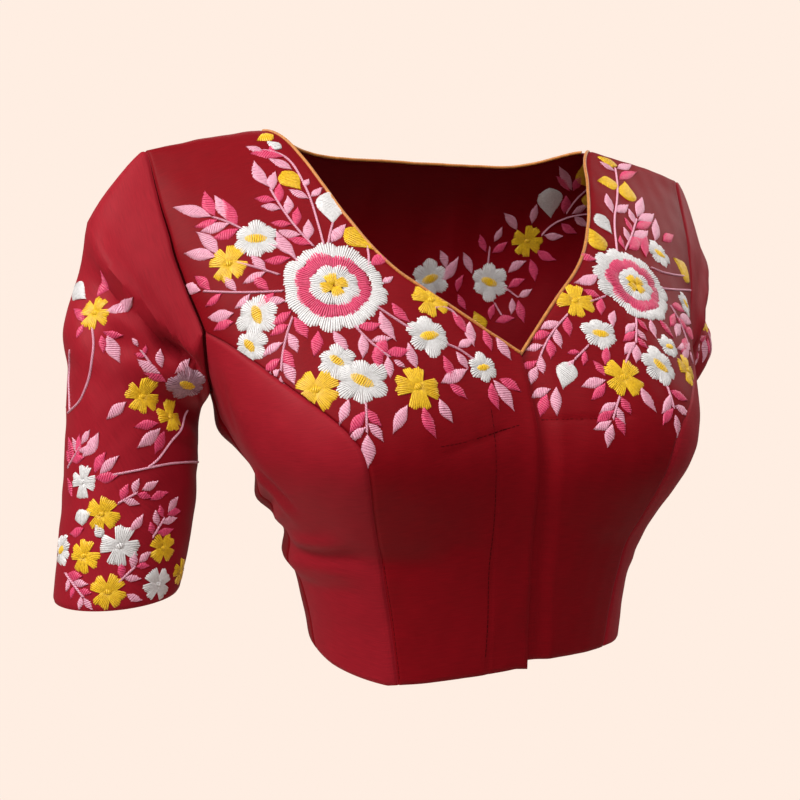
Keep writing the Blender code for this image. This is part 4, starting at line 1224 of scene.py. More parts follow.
def cross(size, turn, petal):
    """A flower of four separate petals with flared, notched rims."""
    made = []
    for k in range(4):
        way = turn + math.pi * k / 2 + CHANCE.uniform(-CROSS["sway"], CROSS["sway"])
        length = size * CHANCE.uniform(*CROSS["length"])
        wide = size * CROSS["width"] * CHANCE.uniform(*CROSS["widths"])
        made.append(fan(petal, length, wide, CROSS["foot"], CROSS["notch"], way, CROSS["inner"] * size))
    heart = size * CROSS["heart_length"], size * CROSS["heart_width"]
    return made + [oval(petal, *heart, turn + CROSS["heart_turn"])]


def daisy(size, turn, petal, lobes):
    """A small flower with a lobed rim round a long oval heart."""
    rim = hoop(petal, DAISY["inner"] * size, size, lobes, DAISY["depth"], PAD["petal"], DAISY["ragged"], turn)
    heart = size * DAISY["heart_length"], size * DAISY["heart_width"]
    return [rim, oval("yellow", *heart, turn + DAISY["heart_turn"])]


def rosette(size, turn):
    """The large flower: white, deep pink and white rings round a small yellow cross."""
    made = []
    for thread, inner, outer, lobes, depth, pads, ragged, ahead in ROSETTE_RINGS:
        pad = PAD["ring"] * pads
        made.append(hoop(thread, inner * size, outer * size, lobes, depth, pad, ragged, turn + ahead))
    heart = ROSETTE_HEART
    for k in range(4):
        way = turn + heart["turn"] + k * math.pi / 2
        length, width = heart["length"] * size, heart["width"] * size
        petal = fan("yellow", length, width, heart["foot"], 0.0, way, heart["inner"] * size)
        petal["pad"] = petal["pad"] + heart["pads"] * PAD["ring"]
        made.append(petal)
    return made


FLOWERS = {
    "rosette": (rosette, {}),
    "daisy": (daisy, {"petal": "white", "lobes": 6}),
    "aster": (daisy, {"petal": "white", "lobes": 9}),
    # A white daisy worked in the darker purplish floss, as painted shade
    "violet": (daisy, {"petal": "white_in_painted_shade", "lobes": 5}),
    "cross": (cross, {"petal": "yellow"}),
    "white_cross": (cross, {"petal": "white"}),
}
THREADS = {"W": "white", "P": "pink", "L": "pale", "Y": "yellow"}
BUD_THREADS = ("white", "yellow")
BUD_WIDTH = 0.72
FLIP = np.array([-1.0, 1.0, 1.0])


class Panel:
    """The cloth that a group of motifs is stitched to, and the threads stitched to it so far."""

    def __init__(self, piece):
        data = piece.data
        self.tree = BVHTree.FromPolygons([v.co for v in data.vertices], [f.vertices for f in data.polygons])
        self.bands = {}

    def probe(self, spot, outward):
        """Where the cloth lies under a spot, and its outward direction, or nothing."""
        start = Vector(spot + outward * PROBE_REACH)
        found, normal, _, _ = self.tree.ray_cast(start, Vector(-outward), 2 * PROBE_REACH)
        if found is None:
            return None
        lean = normal.dot(Vector(outward))
        if abs(lean) < PROBE_STEEPEST:
            return None
        return np.array(found), np.array(normal) * math.copysign(1.0, lean)

    def add(self, thread, rows, closed, turned):
        """Makes the faces between neighbouring threads; rows are arrays of points, or nothing."""
        points, faces = self.bands.setdefault(thread, ([], []))
        base = []
        for row in rows:
            base.append(None if row is None else len(points))
            if row is not None:
                points.extend(row.tolist())
        count = len(rows)
        width = len(ALONG_THREAD)
        for k in range(count if closed else count - 1):
            first, second = base[k], base[(k + 1) % count]
            if first is None or second is None:
                continue
            for j in range(width - 1):
                face = (first + j, second + j, second + j + 1, first + j + 1)
                faces.append(face if turned else face[::-1])


class Seat:
    """A place on the cloth with two directions along it."""

    def __init__(self, spot, along, outward):
        self.spot = np.asarray(spot, float)
        self.outward = unit(np.asarray(outward, float))
        along = np.asarray(along, float)
        self.along = unit(along - self.outward * float(along @ self.outward))
        self.beside = np.cross(self.outward, self.along)

    def mirrored(self):
        """The same place on the other half of the body."""
        seat = Seat(self.spot * FLIP, self.along * FLIP, self.outward * FLIP)
        seat.beside = self.beside * FLIP
        return seat

    def reversed(self):
        """The same place seen from the cloth's other face."""
        seat = Seat(self.spot, self.along, -self.outward)
        seat.beside = self.beside
        return seat


def stitch(panel, seat, bands):
    """Lays a motif's threads on the cloth at a seat; threads that leave the cloth are cut at its edge."""
    turned = float(np.cross(seat.along, seat.beside) @ seat.outward) > 0
    for made in bands:
        rows = []
        for a, b, ridge, pad in zip(made["a"], made["b"], made["ridge"], made["pad"]):
            rows.append(thread_line(panel, seat, a, b, pad + (THREAD_RISE if ridge else 0.0)))
        panel.add(made["thread"], rows, made["closed"], turned)


def thread_line(panel, seat, a, b, rise):
    """The points of one thread on the cloth."""

    def under(t):
        flat = a + (b - a) * t
        return panel.probe(seat.spot + seat.along * flat[0] + seat.beside * flat[1], seat.outward)

    found = [under(t) for t in ALONG_THREAD]
    if any(spot is None for spot in found):
        hits = [t for t, spot in zip(ALONG_THREAD, found) if spot is not None]
        if len(hits) < 2:
            return None
        first, last = hits[0], hits[-1]
        if found[0] is None:
            first = edge_share(under, first, ALONG_THREAD[ALONG_THREAD < first][-1])
        if found[-1] is None:
            last = edge_share(under, last, ALONG_THREAD[ALONG_THREAD > last][0])
        if (last - first) * np.linalg.norm(b - a) < SHORTEST_THREAD:
            return None
        found = [under(t) for t in first + (last - first) * ALONG_THREAD]
        if any(spot is None for spot in found):
            return None
    spots = np.array([spot[0] for spot in found])
    out = np.array([spot[1] for spot in found])
    heights = rise * THREAD_PROFILE - TUCK_BELOW * (THREAD_PROFILE == 0.0)
    return spots + out * heights[:, None]


def edge_share(under, inside, outside):
    """How far along a thread the cloth's edge lies."""
    for _ in range(EDGE_ROUNDS):
        middle = (inside + outside) / 2
        if under(middle) is None:
            outside = middle
        else:
            inside = middle
    return inside


def stem(panel, spots, outward):
    """A line of slanting stem stitches through points on the cloth."""
    run = run_length(spots)
    count = max(3, int(run[-1] / PITCH["stem"]))
    number = np.arange(3 * count + 1)
    want = np.minimum(number // 3 + THREAD_SHARES[number % 3], count) * run[-1] / count
    slant = STEM["slant"] * STEM["width"]
    out = unit(read_at(want, run, outward))
    beside = np.cross(out, unit(np.gradient(read_at(want, run, spots), axis=0)))
    rows = []
    for k, here in enumerate(want):
        ridge = number[k] % 3 > 0
        ends = read_at(np.clip([here - slant, here + slant], 0, run[-1]), run, spots)
        half = STEM["width"] / 2 * (1.0 if ridge else STEM["valley_width"])
        a, b = ends[0] - beside[k] * half, ends[1] + beside[k] * half
        rise = (PAD["stem"] + THREAD_RISE if ridge else STEM["valley_pad"] * PAD["stem"]) * THREAD_PROFILE
        rise = rise - TUCK_BELOW * (THREAD_PROFILE == 0.0)
        rows.append(a + (b - a) * ALONG_THREAD[:, None] + out[k] * rise[:, None])
    panel.add("pale", rows, False, True)


def running(panel, spots, outward):
    """A line of short machine stitches in the cloth's own colour."""
    run = run_length(spots)
    for first in np.arange(0.0, run[-1] - RUNNING["stitch"], RUNNING["stitch"] + RUNNING["gap"]):
        want = first + RUNNING["stitch"] * ALONG_THREAD
        line = read_at(want, run, spots)
        out = unit(read_at(want, run, outward))
        beside = np.cross(out, unit(np.gradient(line, axis=0))) * RUNNING["width"] / 2
        rows = []
        for share in (-1.0, 0.0, 1.0):
            rise = THREAD_PROFILE * (share == 0.0) * RUNNING["rise"] - TUCK_BELOW * RUNNING["sunk"]
            rows.append(line + beside * share + out * rise[:, None])
        panel.add("red", rows, False, False)


class Photo:
    """The photograph's view, so that a motif's place in it gives its place on the cloth."""

    def __init__(self, eye, across, upright, look):
        self.eye = np.array(eye)
        self.axes = np.array(across), np.array(upright), np.array(look)
        self.reach = PHOTO_SIDE * CAMERA["lens_mm"] / CAMERA["sensor_mm"]

    def way(self, x, y):
        """The direction in which a place of the photograph is seen."""
        across, upright, look = self.axes
        half = PHOTO_SIDE / 2
        return unit(look + across * (x - half) / self.reach - upright * (y - half) / self.reach)

    def hit(self, panel, x, y):
        """Where the cloth lies at a place of the photograph."""
        way = self.way(x, y)
        found, normal, _, _ = panel.tree.ray_cast(Vector(self.eye), Vector(way))
        if found is None:
            return None
        normal = np.array(normal)
        return np.array(found), normal * -math.copysign(1.0, float(normal @ way))

    def seat(self, panel, x0, y0, x1, y1):
        """A seat at the first place that faces the second one, and the distance between them."""
        first, second = self.hit(panel, x0, y0), self.hit(panel, x1, y1)
        if first is None and second is None:
            return None, 0.0
        known = second if first is None else first
        if first is None or second is None:
            x, y = (x0, y0) if first is None else (x1, y1)
            way = self.way(x, y)
            far = float((known[0] - self.eye) @ known[1]) / min(float(way @ known[1]), -GRAZING)
            guess = (self.eye + way * far, known[1])
            first, second = (guess, second) if first is None else (first, guess)
        outward = unit(first[1] + second[1])
        return Seat(first[0], second[0] - first[0], outward), float(np.linalg.norm(second[0] - first[0]))


def pixel_line(points, step=PIXEL_STEP):
    """Places along a smooth line through a few places of the photograph."""
    points = np.asarray(points, float)
    fine = spline(points, np.linspace(0, len(points) - 1, 12 * len(points)))
    run = run_length(fine)
    return read_at(np.linspace(0, run[-1], max(2, int(run[-1] / step)) + 1), run, fine)


def settle(panel, spots, outward):
    """Smooths a line of points and drops it onto the cloth."""
    spots = np.array(spots)
    for _ in range(SMOOTHINGS):
        spots[1:-1] = (spots[:-2] + 2 * spots[1:-1] + spots[2:]) / 4
    found = [panel.probe(spot, out) for spot, out in zip(spots, outward)]
    found = [spot for spot in found if spot is not None]
    if len(found) < 3:
        return None
    return np.array([s for s, _ in found]), np.array([n for _, n in found])


def laid_stems(photo, panel, lines):
    """The stems' points on the cloth, with outward directions, cut where they leave it."""
    made = []
    for line in lines:
        hits = [photo.hit(panel, x, y) for x, y in pixel_line(line)]
        hits = [spot for spot in hits if spot is not None]
        laid = settle(panel, *zip(*hits)) if len(hits) > 2 else None
        if laid is not None:
            made.append(laid)
    return made


# A spray's leaves: pixels along and off its stem, and shares of the stem and of the leaf's length
SPRAY = {
    "step": 2.0, "foot": 1.5, "first": 0.45, "jitter": 0.03, "stagger": 0.06, "span": (0.02, 0.98),
    "lean_degrees": (36, 50), "sizes": (0.88, 1.12),
}


def spray_lines(row):
    """A spray's stem and its leaves, in the photograph's plane: leaves in pairs and one at the tip."""
    spray = dict(zip(SPRAY_COLUMNS, row))
    foot = np.array([spray["x"], spray["y"]], float)
    end = np.array([spray["end_x"], spray["end_y"]], float)
    along = end - foot
    length = float(np.linalg.norm(along))
    along = along / length
    beside = np.array([-along[1], along[0]])
    middle = (foot + end) / 2 + beside * spray["bend"] * length
    path = pixel_line([foot, middle, end], SPRAY["step"])
    leaves = []
    for k in range(spray["pairs"]):
        share = (k + SPRAY["first"]) / spray["pairs"]
        for side in (-1, 1):
            jitter = CHANCE.uniform(-SPRAY["jitter"], SPRAY["jitter"])
            at = np.clip(share + SPRAY["stagger"] * side + jitter, *SPRAY["span"])
            node = path[int(at * (len(path) - 1))]
            lean = math.radians(CHANCE.uniform(*SPRAY["lean_degrees"]))
            way = along * math.cos(lean) + side * beside * math.sin(lean)
            size = spray["leaf"] * CHANCE.uniform(*SPRAY["sizes"])
            thread = "PL"[(k + (side > 0) * spray["swap"]) % 2]
            leaves.append((thread, *(node + way * SPRAY["foot"]), *(node + way * size)))
    if spray["tip"]:
        way = unit(path[-1] - path[-3])
        leaves.append(("L", *end, *(end + way * spray["tip"])))
    return path, leaves


# Where the motifs stand in the photograph, in its pixels. A leaf's row is the letter of its thread, its foot's
# x and y and its tip's; a stem's row is the points that it runs through.
FLOWER_COLUMNS = ("kind", "x", "y", "size_mm", "turn_degrees")
SPRAY_COLUMNS = ("x", "y", "end_x", "end_y", "bend", "pairs", "leaf", "tip", "swap")

RIGHT_FLOWERS = (
    ("rosette", 334, 286, 32.5, 10), ("daisy", 256, 239, 14.5, 20), ("daisy", 257, 315, 14.0, 80),
    ("daisy", 250, 346, 11.0, 60), ("daisy", 429, 336, 13.5, 10), ("daisy", 337, 361, 11.0, 60),
    ("daisy", 362, 381, 15.5, 50), ("daisy", 483, 368, 9.5, 15), ("cross", 229, 264, 12.5, 20),
    ("cross", 431, 300, 12.5, 30), ("cross", 418, 387, 14.0, 2), ("cross", 316, 390, 14.0, 40),
)
RIGHT_SPRAYS = (
    (242, 229, 212, 217, 0.05, 3, 29, 40, 0),
    (284, 291, 201, 291, -0.02, 3, 25, 22, 0),
    (314, 247, 269, 187, -0.04, 5, 23, 30, 1),
    (293, 316, 281, 376, 0.05, 4, 25, 22, 0),
    (354, 325, 394, 360, 0.04, 3, 25, 14, 1),
    (366, 402, 367, 434, 0.00, 2, 26, 34, 0),
)
RIGHT_STEMS = (
    ((324, 246), (311, 200), (300, 176), (286, 156), (262, 150)),
    ((236, 262), (258, 268), (280, 275)), ((268, 244), (286, 250), (299, 262)),
    ((328, 244), (330, 232), (333, 222)), ((368, 268), (370, 258), (367, 246)),
    ((376, 306), (394, 318), (414, 331)), ((446, 344), (458, 348), (474, 360)),
    ((434, 308), (448, 306), (458, 318)),
)
RIGHT_LEAVES = (
    ("Y", 301, 190, 282, 172), ("W", 333, 224, 330, 192), ("Y", 374, 250, 345, 229),
    ("Y", 257, 141, 273, 135), ("W", 267, 142, 281, 149), ("L", 303, 186, 309, 179),
    ("L", 264, 153, 246, 147), ("P", 284, 157, 250, 154), ("L", 292, 170, 269, 159),
    ("L", 309, 199, 289, 190), ("L", 311, 197, 322, 188), ("P", 275, 155, 270, 146),
    ("L", 218, 255, 196, 232), ("L", 216, 257, 184, 254), ("L", 266, 270, 251, 255),
    ("L", 266, 272, 243, 284), ("P", 291, 258, 264, 261), ("L", 296, 257, 276, 231),
    ("L", 286, 301, 265, 300), ("L", 234, 313, 208, 318), ("P", 234, 322, 214, 331),
    ("P", 292, 311, 271, 326), ("L", 331, 243, 346, 224), ("P", 370, 266, 389, 249),
    ("L", 382, 283, 393, 277), ("P", 318, 331, 314, 357), ("L", 333, 331, 349, 352),
    ("L", 380, 312, 396, 341), ("P", 392, 303, 410, 323), ("L", 417, 369, 408, 343),
    ("P", 451, 379, 443, 356), ("L", 441, 383, 467, 369), ("P", 449, 384, 467, 399),
    ("L", 407, 405, 393, 434), ("P", 423, 407, 436, 438), ("L", 439, 399, 453, 423),
    ("L", 349, 399, 340, 424), ("P", 452, 312, 467, 334), ("L", 469, 322, 474, 346),
    ("L", 458, 348, 475, 340), ("L", 456, 352, 468, 370), ("P", 483, 330, 491, 350),
    ("L", 496, 337, 511, 360), ("P", 499, 379, 521, 392), ("L", 493, 380, 514, 411),
    ("P", 491, 383, 499, 410), ("P", 384, 336, 374, 360),
)
LEFT_FLOWERS = (
    ("rosette", 635, 285, 29.5, 5), ("daisy", 659, 254, 11.0, 60), ("daisy", 600, 334, 12.5, 30),
    ("daisy", 660, 366, 13.5, 70), ("daisy", 669, 347, 8.5, 20), ("daisy", 685, 304, 9.0, 70),
    ("cross", 575, 301, 13.0, 12), ("cross", 624, 377, 13.5, 45), ("cross", 687, 370, 11.0, 20),
)
LEFT_SPRAYS = (
    (625, 250, 637, 217, 0.04, 4, 17, 20, 0),
    (636, 318, 636, 345, 0.00, 3, 17, 18, 1),
    (568, 314, 537, 366, 0.08, 4, 20, 20, 1),
    (589, 345, 574, 360, 0.00, 1, 16, 12, 0),
    (620, 396, 612, 424, 0.03, 3, 22, 24, 1),
    (667, 386, 675, 415, -0.03, 2, 20, 22, 1),
    (670, 305, 690, 352, -0.05, 4, 15, 12, 0),
)
LEFT_STEMS = (
    ((617, 252), (614, 216), (618, 196), (615, 168)), ((589, 302), (597, 300), (606, 296)),
    ((650, 267), (664, 274), (684, 276)), ((659, 288), (676, 291), (693, 290)),
    ((632, 346), (628, 356), (625, 364)),
)
LEFT_LEAVES = (
    ("Y", 597, 157, 617, 166), ("Y", 597, 181, 617, 184), ("Y", 624, 182, 629, 201),
    ("W", 612, 234, 596, 214), ("Y", 587, 227, 604, 251), ("Y", 673, 258, 689, 281),
    ("W", 563, 389, 569, 362),
    ("L", 615, 172, 600, 162), ("L", 617, 169, 632, 164), ("P", 619, 180, 637, 172),
    ("L", 613, 213, 606, 194), ("L", 615, 212, 628, 205), ("P", 597, 260, 576, 252),
    ("L", 598, 274, 574, 283), ("P", 600, 297, 583, 290), ("P", 601, 298, 601, 315),
    ("L", 614, 311, 613, 327), ("P", 605, 376, 593, 361), ("L", 606, 380, 581, 387),
    ("P", 605, 383, 591, 400), ("L", 640, 387, 656, 412), ("P", 659, 320, 673, 338),
    ("L", 650, 320, 656, 338), ("P", 646, 257, 646, 235), ("L", 655, 241, 655, 219),
    ("P", 663, 241, 673, 235), ("P", 605, 365, 606, 346), ("L", 551, 389, 531, 398),
    ("P", 547, 394, 540, 417), ("L", 556, 387, 557, 416), ("P", 629, 249, 639, 240),
    ("P", 676, 318, 688, 332),
)
INSIDE_FLOWERS = (
    ("cross", 527, 241, 13.0, 20), ("daisy", 489, 282, 15.0, 40), ("daisy", 430, 279, 15.0, 0),
)
INSIDE_STEMS = (
    ((594, 184), (576, 198), (566, 214)), ((590, 214), (570, 216), (546, 227), (541, 236)),
    ((488, 264), (489, 256), (490, 246)), ((503, 286), (510, 292), (519, 298)),
    ((494, 302), (498, 309), (502, 316)),
)
INSIDE_LEAVES = (
    ("Y", 587, 159, 590, 186), ("Y", 596, 188, 587, 207), ("W", 551, 218, 549, 188),
    ("Y", 474, 311, 483, 331),
    ("L", 572, 190, 559, 166), ("P", 570, 191, 556, 176), ("P", 573, 191, 580, 174),
    ("P", 564, 214, 566, 195), ("L", 572, 214, 588, 204), ("L", 574, 216, 589, 227),
    ("P", 561, 223, 577, 233), ("L", 532, 224, 537, 204), ("L", 544, 235, 563, 236),
    ("L", 517, 230, 504, 213), ("P", 536, 250, 556, 260), ("P", 530, 259, 535, 282),
    ("L", 508, 273, 526, 261), ("L", 494, 242, 502, 227), ("P", 486, 252, 480, 234),
    ("P", 492, 253, 507, 242), ("L", 441, 282, 458, 257), ("L", 472, 274, 463, 252),
    ("P", 457, 292, 463, 275), ("P", 458, 294, 466, 310), ("P", 508, 288, 525, 279),
    ("L", 518, 297, 532, 289), ("L", 512, 298, 511, 315), ("P", 518, 300, 524, 323),
    ("P", 494, 304, 490, 320), ("P", 495, 322, 515, 318), ("L", 446, 268, 440, 250),
)
SLEEVE_FLOWERS = (
    ("cross", 95, 313, 10.5, 20), ("cross", 142, 397, 11.0, 30), ("cross", 170, 417, 10.0, 10),
    ("cross", 102, 514, 10.5, 25), ("cross", 163, 548, 9.5, 40), ("cross", 84, 556, 10.5, 15),
    ("cross", 108, 592, 11.0, 35), ("cross", 180, 572, 8.5, 10), ("white_cross", 83, 482, 10.0, 5),
    ("white_cross", 120, 546, 12.0, 10), ("white_cross", 158, 584, 10.5, 50),
    # The first daisy on the next line is the white underarm flower, its petals darkened and tinted purple as
    # painted shade
    ("violet", 187, 385, 12.0, 40), ("aster", 62, 550, 10.0, 0),
)
SLEEVE_SPRAYS = (
    (68, 468, 82, 444, 0.00, 2, 15, 16, 0),
    (117, 504, 142, 490, 0.00, 2, 18, 18, 1),
    (152, 538, 168, 512, 0.00, 3, 16, 18, 0),
    (118, 583, 139, 563, 0.00, 2, 17, 16, 1),
    (65, 572, 84, 598, 0.00, 3, 15, 14, 1),
    (151, 364, 138, 346, 0.00, 1, 12, 10, 0),
)
SLEEVE_STEMS = (
    ((92, 327), (94, 348), (88, 382), (78, 406), (68, 413)), ((70, 350), (69, 382), (70, 411)),
    ((188, 410), (182, 427), (168, 445), (158, 461), (147, 468)),
    ((112, 475), (148, 468), (172, 463), (198, 462)),
)
SLEEVE_LEAVES = (
    ("W", 76, 274, 79, 260), ("W", 93, 205, 97, 196),
    ("P", 97, 297, 101, 271), ("L", 106, 312, 133, 297), ("W", 86, 299, 75, 287),
    ("P", 84, 323, 74, 309), ("P", 84, 324, 77, 338), ("L", 107, 334, 120, 363),
    ("P", 103, 332, 123, 335), ("P", 101, 335, 103, 353), ("L", 160, 373, 137, 359),
    ("L", 162, 368, 160, 349), ("P", 166, 381, 144, 373), ("L", 175, 373, 189, 359),
    ("L", 126, 402, 107, 419), ("P", 158, 423, 134, 427), ("L", 160, 428, 137, 448),
    ("P", 164, 431, 155, 454), ("L", 83, 457, 99, 432), ("P", 78, 458, 80, 434),
    ("P", 74, 460, 69, 437), ("P", 95, 473, 106, 452), ("L", 100, 475, 119, 456),
    ("P", 95, 478, 119, 475), ("L", 129, 531, 143, 514), ("W", 92, 512, 76, 520),
    ("W", 95, 524, 102, 537), ("P", 84, 528, 70, 534), ("L", 127, 594, 142, 600),
    ("P", 72, 496, 68, 478), ("P", 150, 500, 168, 492),
)

# How wide a leaf is for its length, in metres and shares, and how far to its right a flower looks, in pixels
LEAF_SIZES = {
    "longest": 0.030, "width_share": 0.34, "width_extra": 0.0010, "widest": 0.0080,
    "widths": (0.9, 1.12), "bend": 0.08,
}
FLOWER_HEADING = 3


def leaf_bands(thread, length):
    """The threads of one leaf or bud."""
    length = min(length, LEAF_SIZES["longest"])
    if thread in BUD_THREADS:
        return slanted("bud", thread, length, BUD_WIDTH * length)
    width = min(LEAF_SIZES["width_share"] * length + LEAF_SIZES["width_extra"], LEAF_SIZES["widest"])
    width = width * CHANCE.uniform(*LEAF_SIZES["widths"])
    return slanted("leaf", thread, length, width, CHANCE.uniform(-LEAF_SIZES["bend"], LEAF_SIZES["bend"]))


def plan(photo, panel, flowers, sprays, stems, leaves):
    """Seats and bands of a panel's motifs, and its stems, as the photograph shows them."""
    rows = list(leaves)
    lines = list(stems)
    for row in sprays:
        path, more = spray_lines(row)
        lines.append(path[:: max(1, len(path) // 4)])
        rows += more
    motifs = []
    for thread, *places in rows:
        seat, length = photo.seat(panel, *places)
        if seat is not None:
            motifs.append((seat, leaf_bands(THREADS[thread], length)))
    for row in flowers:
        item = dict(zip(FLOWER_COLUMNS, row))
        seat, _ = photo.seat(panel, item["x"], item["y"], item["x"] + FLOWER_HEADING, item["y"])
        if seat is not None:
            make, options = FLOWERS[item["kind"]]
            size, turn = item["size_mm"] / 1000, math.radians(-item["turn_degrees"])
            motifs.append((seat, make(size, turn, **options)))
    return motifs, laid_stems(photo, panel, lines)


class SleeveMap:
    """Carries places of the right sleeve half a turn round it, or over to the left one."""

    def __init__(self, half_turn, to_left):
        source = SLEEVE_GRIDS["right"]
        self.source = source
        self.target = SLEEVE_GRIDS["left" if to_left else "right"]
        self.half_turn = half_turn
        self.tree = KDTree(source.shape[0] * source.shape[1])
        for number, point in enumerate(source.reshape(-1, 3)):
            self.tree.insert(point, number)
        self.tree.balance()

    def frame_at(self, grid, i, j, outside_sign):
        """Directions round the sleeve, down it and out of the cloth at a point of its grid."""
        rows, columns = grid.shape[:2]
        round_it = grid[i, (j + 1) % columns] - grid[i, (j - 1) % columns]
        down_it = grid[min(i + 1, rows - 1), j] - grid[max(i - 1, 0), j]
        outward = unit(np.cross(round_it, down_it)) * outside_sign
        round_it = unit(round_it)
        down_it = unit(down_it - round_it * float(down_it @ round_it))
        return round_it, down_it, outward

    def carry(self, spot):
        """The matching place, and both places' directions round, down and out."""
        _, number, _ = self.tree.find(spot)
        rows, columns = self.source.shape[:2]
        i, j = divmod(number, columns)
        k = self.opposite(j) if self.half_turn else j
        here = self.frame_at(self.source, i, j, -1.0)
        there = self.frame_at(self.target, i, k, 1.0 if self.target is not self.source else -1.0)
        offset = spot - self.source[i, j]
        shift = sum(float(offset @ a) * b for a, b in zip(here, there))
        return self.target[i, k] + shift, here, there

    def opposite(self, j):
        """The column half a turn round."""
        turn = SLEEVE_TURNS
        want = (turn[j] + math.pi) % (2 * math.pi)
        return int(np.argmin(np.abs((turn - want + math.pi) % (2 * math.pi) - math.pi)))

    def seat(self, seat):
        """A seat carried over."""
        spot, here, there = self.carry(seat.spot)

        def turned(direction):
            return sum(float(direction @ a) * b for a, b in zip(here, there))

        made = Seat(spot, turned(seat.along), there[2])
        made.beside = turned(seat.beside)
        return made

    def line(self, spots):
        """A stem's points carried over, with their outward directions."""
        carried = [self.carry(spot) for spot in spots]
        return np.array([spot for spot, _, _ in carried]), np.array([there[2] for _, _, there in carried])


FRONT_TABLES = {
    "front_right_centre": (RIGHT_FLOWERS, RIGHT_SPRAYS, RIGHT_STEMS, RIGHT_LEAVES),
    "front_left_centre": (LEFT_FLOWERS, LEFT_SPRAYS, LEFT_STEMS, LEFT_LEAVES),
}

# Seams that show on the fronts, as lines of the photograph
RUNNING = {"stitch": 0.0026, "gap": 0.0004, "width": 0.0008, "rise": 0.00016, "sunk": 0.3}
SEWN_LINES = {
    "front_right_centre": (
        ((491, 409), (495, 438), (496, 472), (494, 525), (489, 569), (488, 617), (485, 662)),
        ((441, 447), (470, 441), (500, 431), (520, 425)), ((384, 566), (390, 604), (395, 640), (400, 684)),
    ),
    "front_left_centre": (((541, 420), (575, 419), (614, 419)),),
}


def lay(panel, motifs, stems):
    """Stitches a plan's stems and motifs, the stems first; a stem that found no cloth is nothing."""
    for laid in stems:
        if laid is not None:
            stem(panel, *laid)
    for seat, bands in motifs:
        stitch(panel, seat, bands)


def embroider_back(photo, back):
    """The back's motifs: those that show inside it, mirrored to its other half, and all again outside."""
    motifs, stems = plan(photo, back, INSIDE_FLOWERS, (), INSIDE_STEMS, INSIDE_LEAVES)
    motifs += [(seat.mirrored(), bands) for seat, bands in motifs]
    stems += [(spots * FLIP, outward * FLIP) for spots, outward in stems]
    lay(back, motifs, [settle(back, *line) for line in stems])
    turned = [(seat.reversed(), bands) for seat, bands in motifs]
    lay(back, turned, [settle(back, spots, -outward) for spots, outward in stems])


def embroider_sleeves(photo, right, left):
    """The right sleeve's motifs as they show, and carried round it and over to the left one."""
    motifs, stems = plan(photo, right, SLEEVE_FLOWERS, SLEEVE_SPRAYS, SLEEVE_STEMS, SLEEVE_LEAVES)
    lay(right, motifs, stems)
    for panel, half_turn, to_left in ((right, True, False), (left, False, True), (left, True, True)):
        carried = SleeveMap(half_turn, to_left)
        seats = [(carried.seat(seat), bands) for seat, bands in motifs]
        lay(panel, seats, [settle(panel, *carried.line(spots)) for spots, _ in stems])


def embroider(photo, pieces):
    """All the embroidery; gives the pieces made, by the node that carries them."""
    names = ("front_right_centre", "front_left_centre", "back", "sleeve_right", "sleeve_left")
    panels = {node: Panel(pieces[node]) for node in names}
    for node, tables in FRONT_TABLES.items():
        lay(panels[node], *plan(photo, panels[node], *tables))
        for spots, outward in laid_stems(photo, panels[node], SEWN_LINES[node]):
            running(panels[node], spots, outward)
    embroider_back(photo, panels["back"])
    embroider_sleeves(photo, panels["sleeve_right"], panels["sleeve_left"])
    floss = {}
    return {node: thread_pieces(panel, node, floss) for node, panel in panels.items()}


def thread_pieces(panel, node, floss):
    """One object for each colour of thread on a panel."""
    made = []
    for thread, (points, faces) in panel.bands.items():
        data = bpy.data.meshes.new(f"stitches_{node}_{thread}")
        data.from_pydata(points, [], faces)
        if thread not in floss:
            floss[thread] = thread_material(thread)
        made.append(keep(data.name, data, floss[thread]))
    return made


# Camera, as fitted to the photograph: where it stands, which way it looks and its lens
CAMERA = {
    "azimuth": -21.911, "distance": 0.798, "height": -0.121, "yaw": 1.624, "pitch": -4.454, "roll": 0.495,
    "lens_mm": 50.03, "sensor_mm": 36.0, "clip_start": 0.02, "clip_end": 60.0,
}
PALE = (1.0, 0.855, 0.761)
FLOOR_HEIGHT = -1.30
FLOOR_RADIUS = 1.25
FLOOR_SIDES = 96
LIGHT_COLUMNS = ("name", "azimuth", "elevation", "distance", "size", "watts", "colour")
LIGHTS = (
    ("key", -78.0, 36.0, 1.9, 0.9, 38.0, (1.0, 0.96, 0.93)),
    ("front_fill", -20.0, 40.0, 2.6, 1.3, 18.0, (1.0, 0.96, 0.94)),
    ("top", -5.0, 62.0, 1.9, 1.2, 18.0, (1.0, 0.96, 0.94)),
    ("right_rim", 105.0, 30.0, 2.2, 1.2, 14.0, (1.0, 0.95, 0.92)),
    ("behind", 180.0, 35.0, 2.4, 1.6, 10.0, (1.0, 0.96, 0.93)),
)
LIT_MIDDLE = (0.0, -0.04, -0.17)
WORLD_STRENGTH = 0.24


def direction(azimuth, elevation):
    """A direction from the blouse: its angle from the front towards the wearer's left, and its elevation."""
    level = Vector((math.sin(azimuth), -math.cos(azimuth), 0.0)) * math.cos(elevation)
    return level + Vector((0.0, 0.0, math.sin(elevation)))


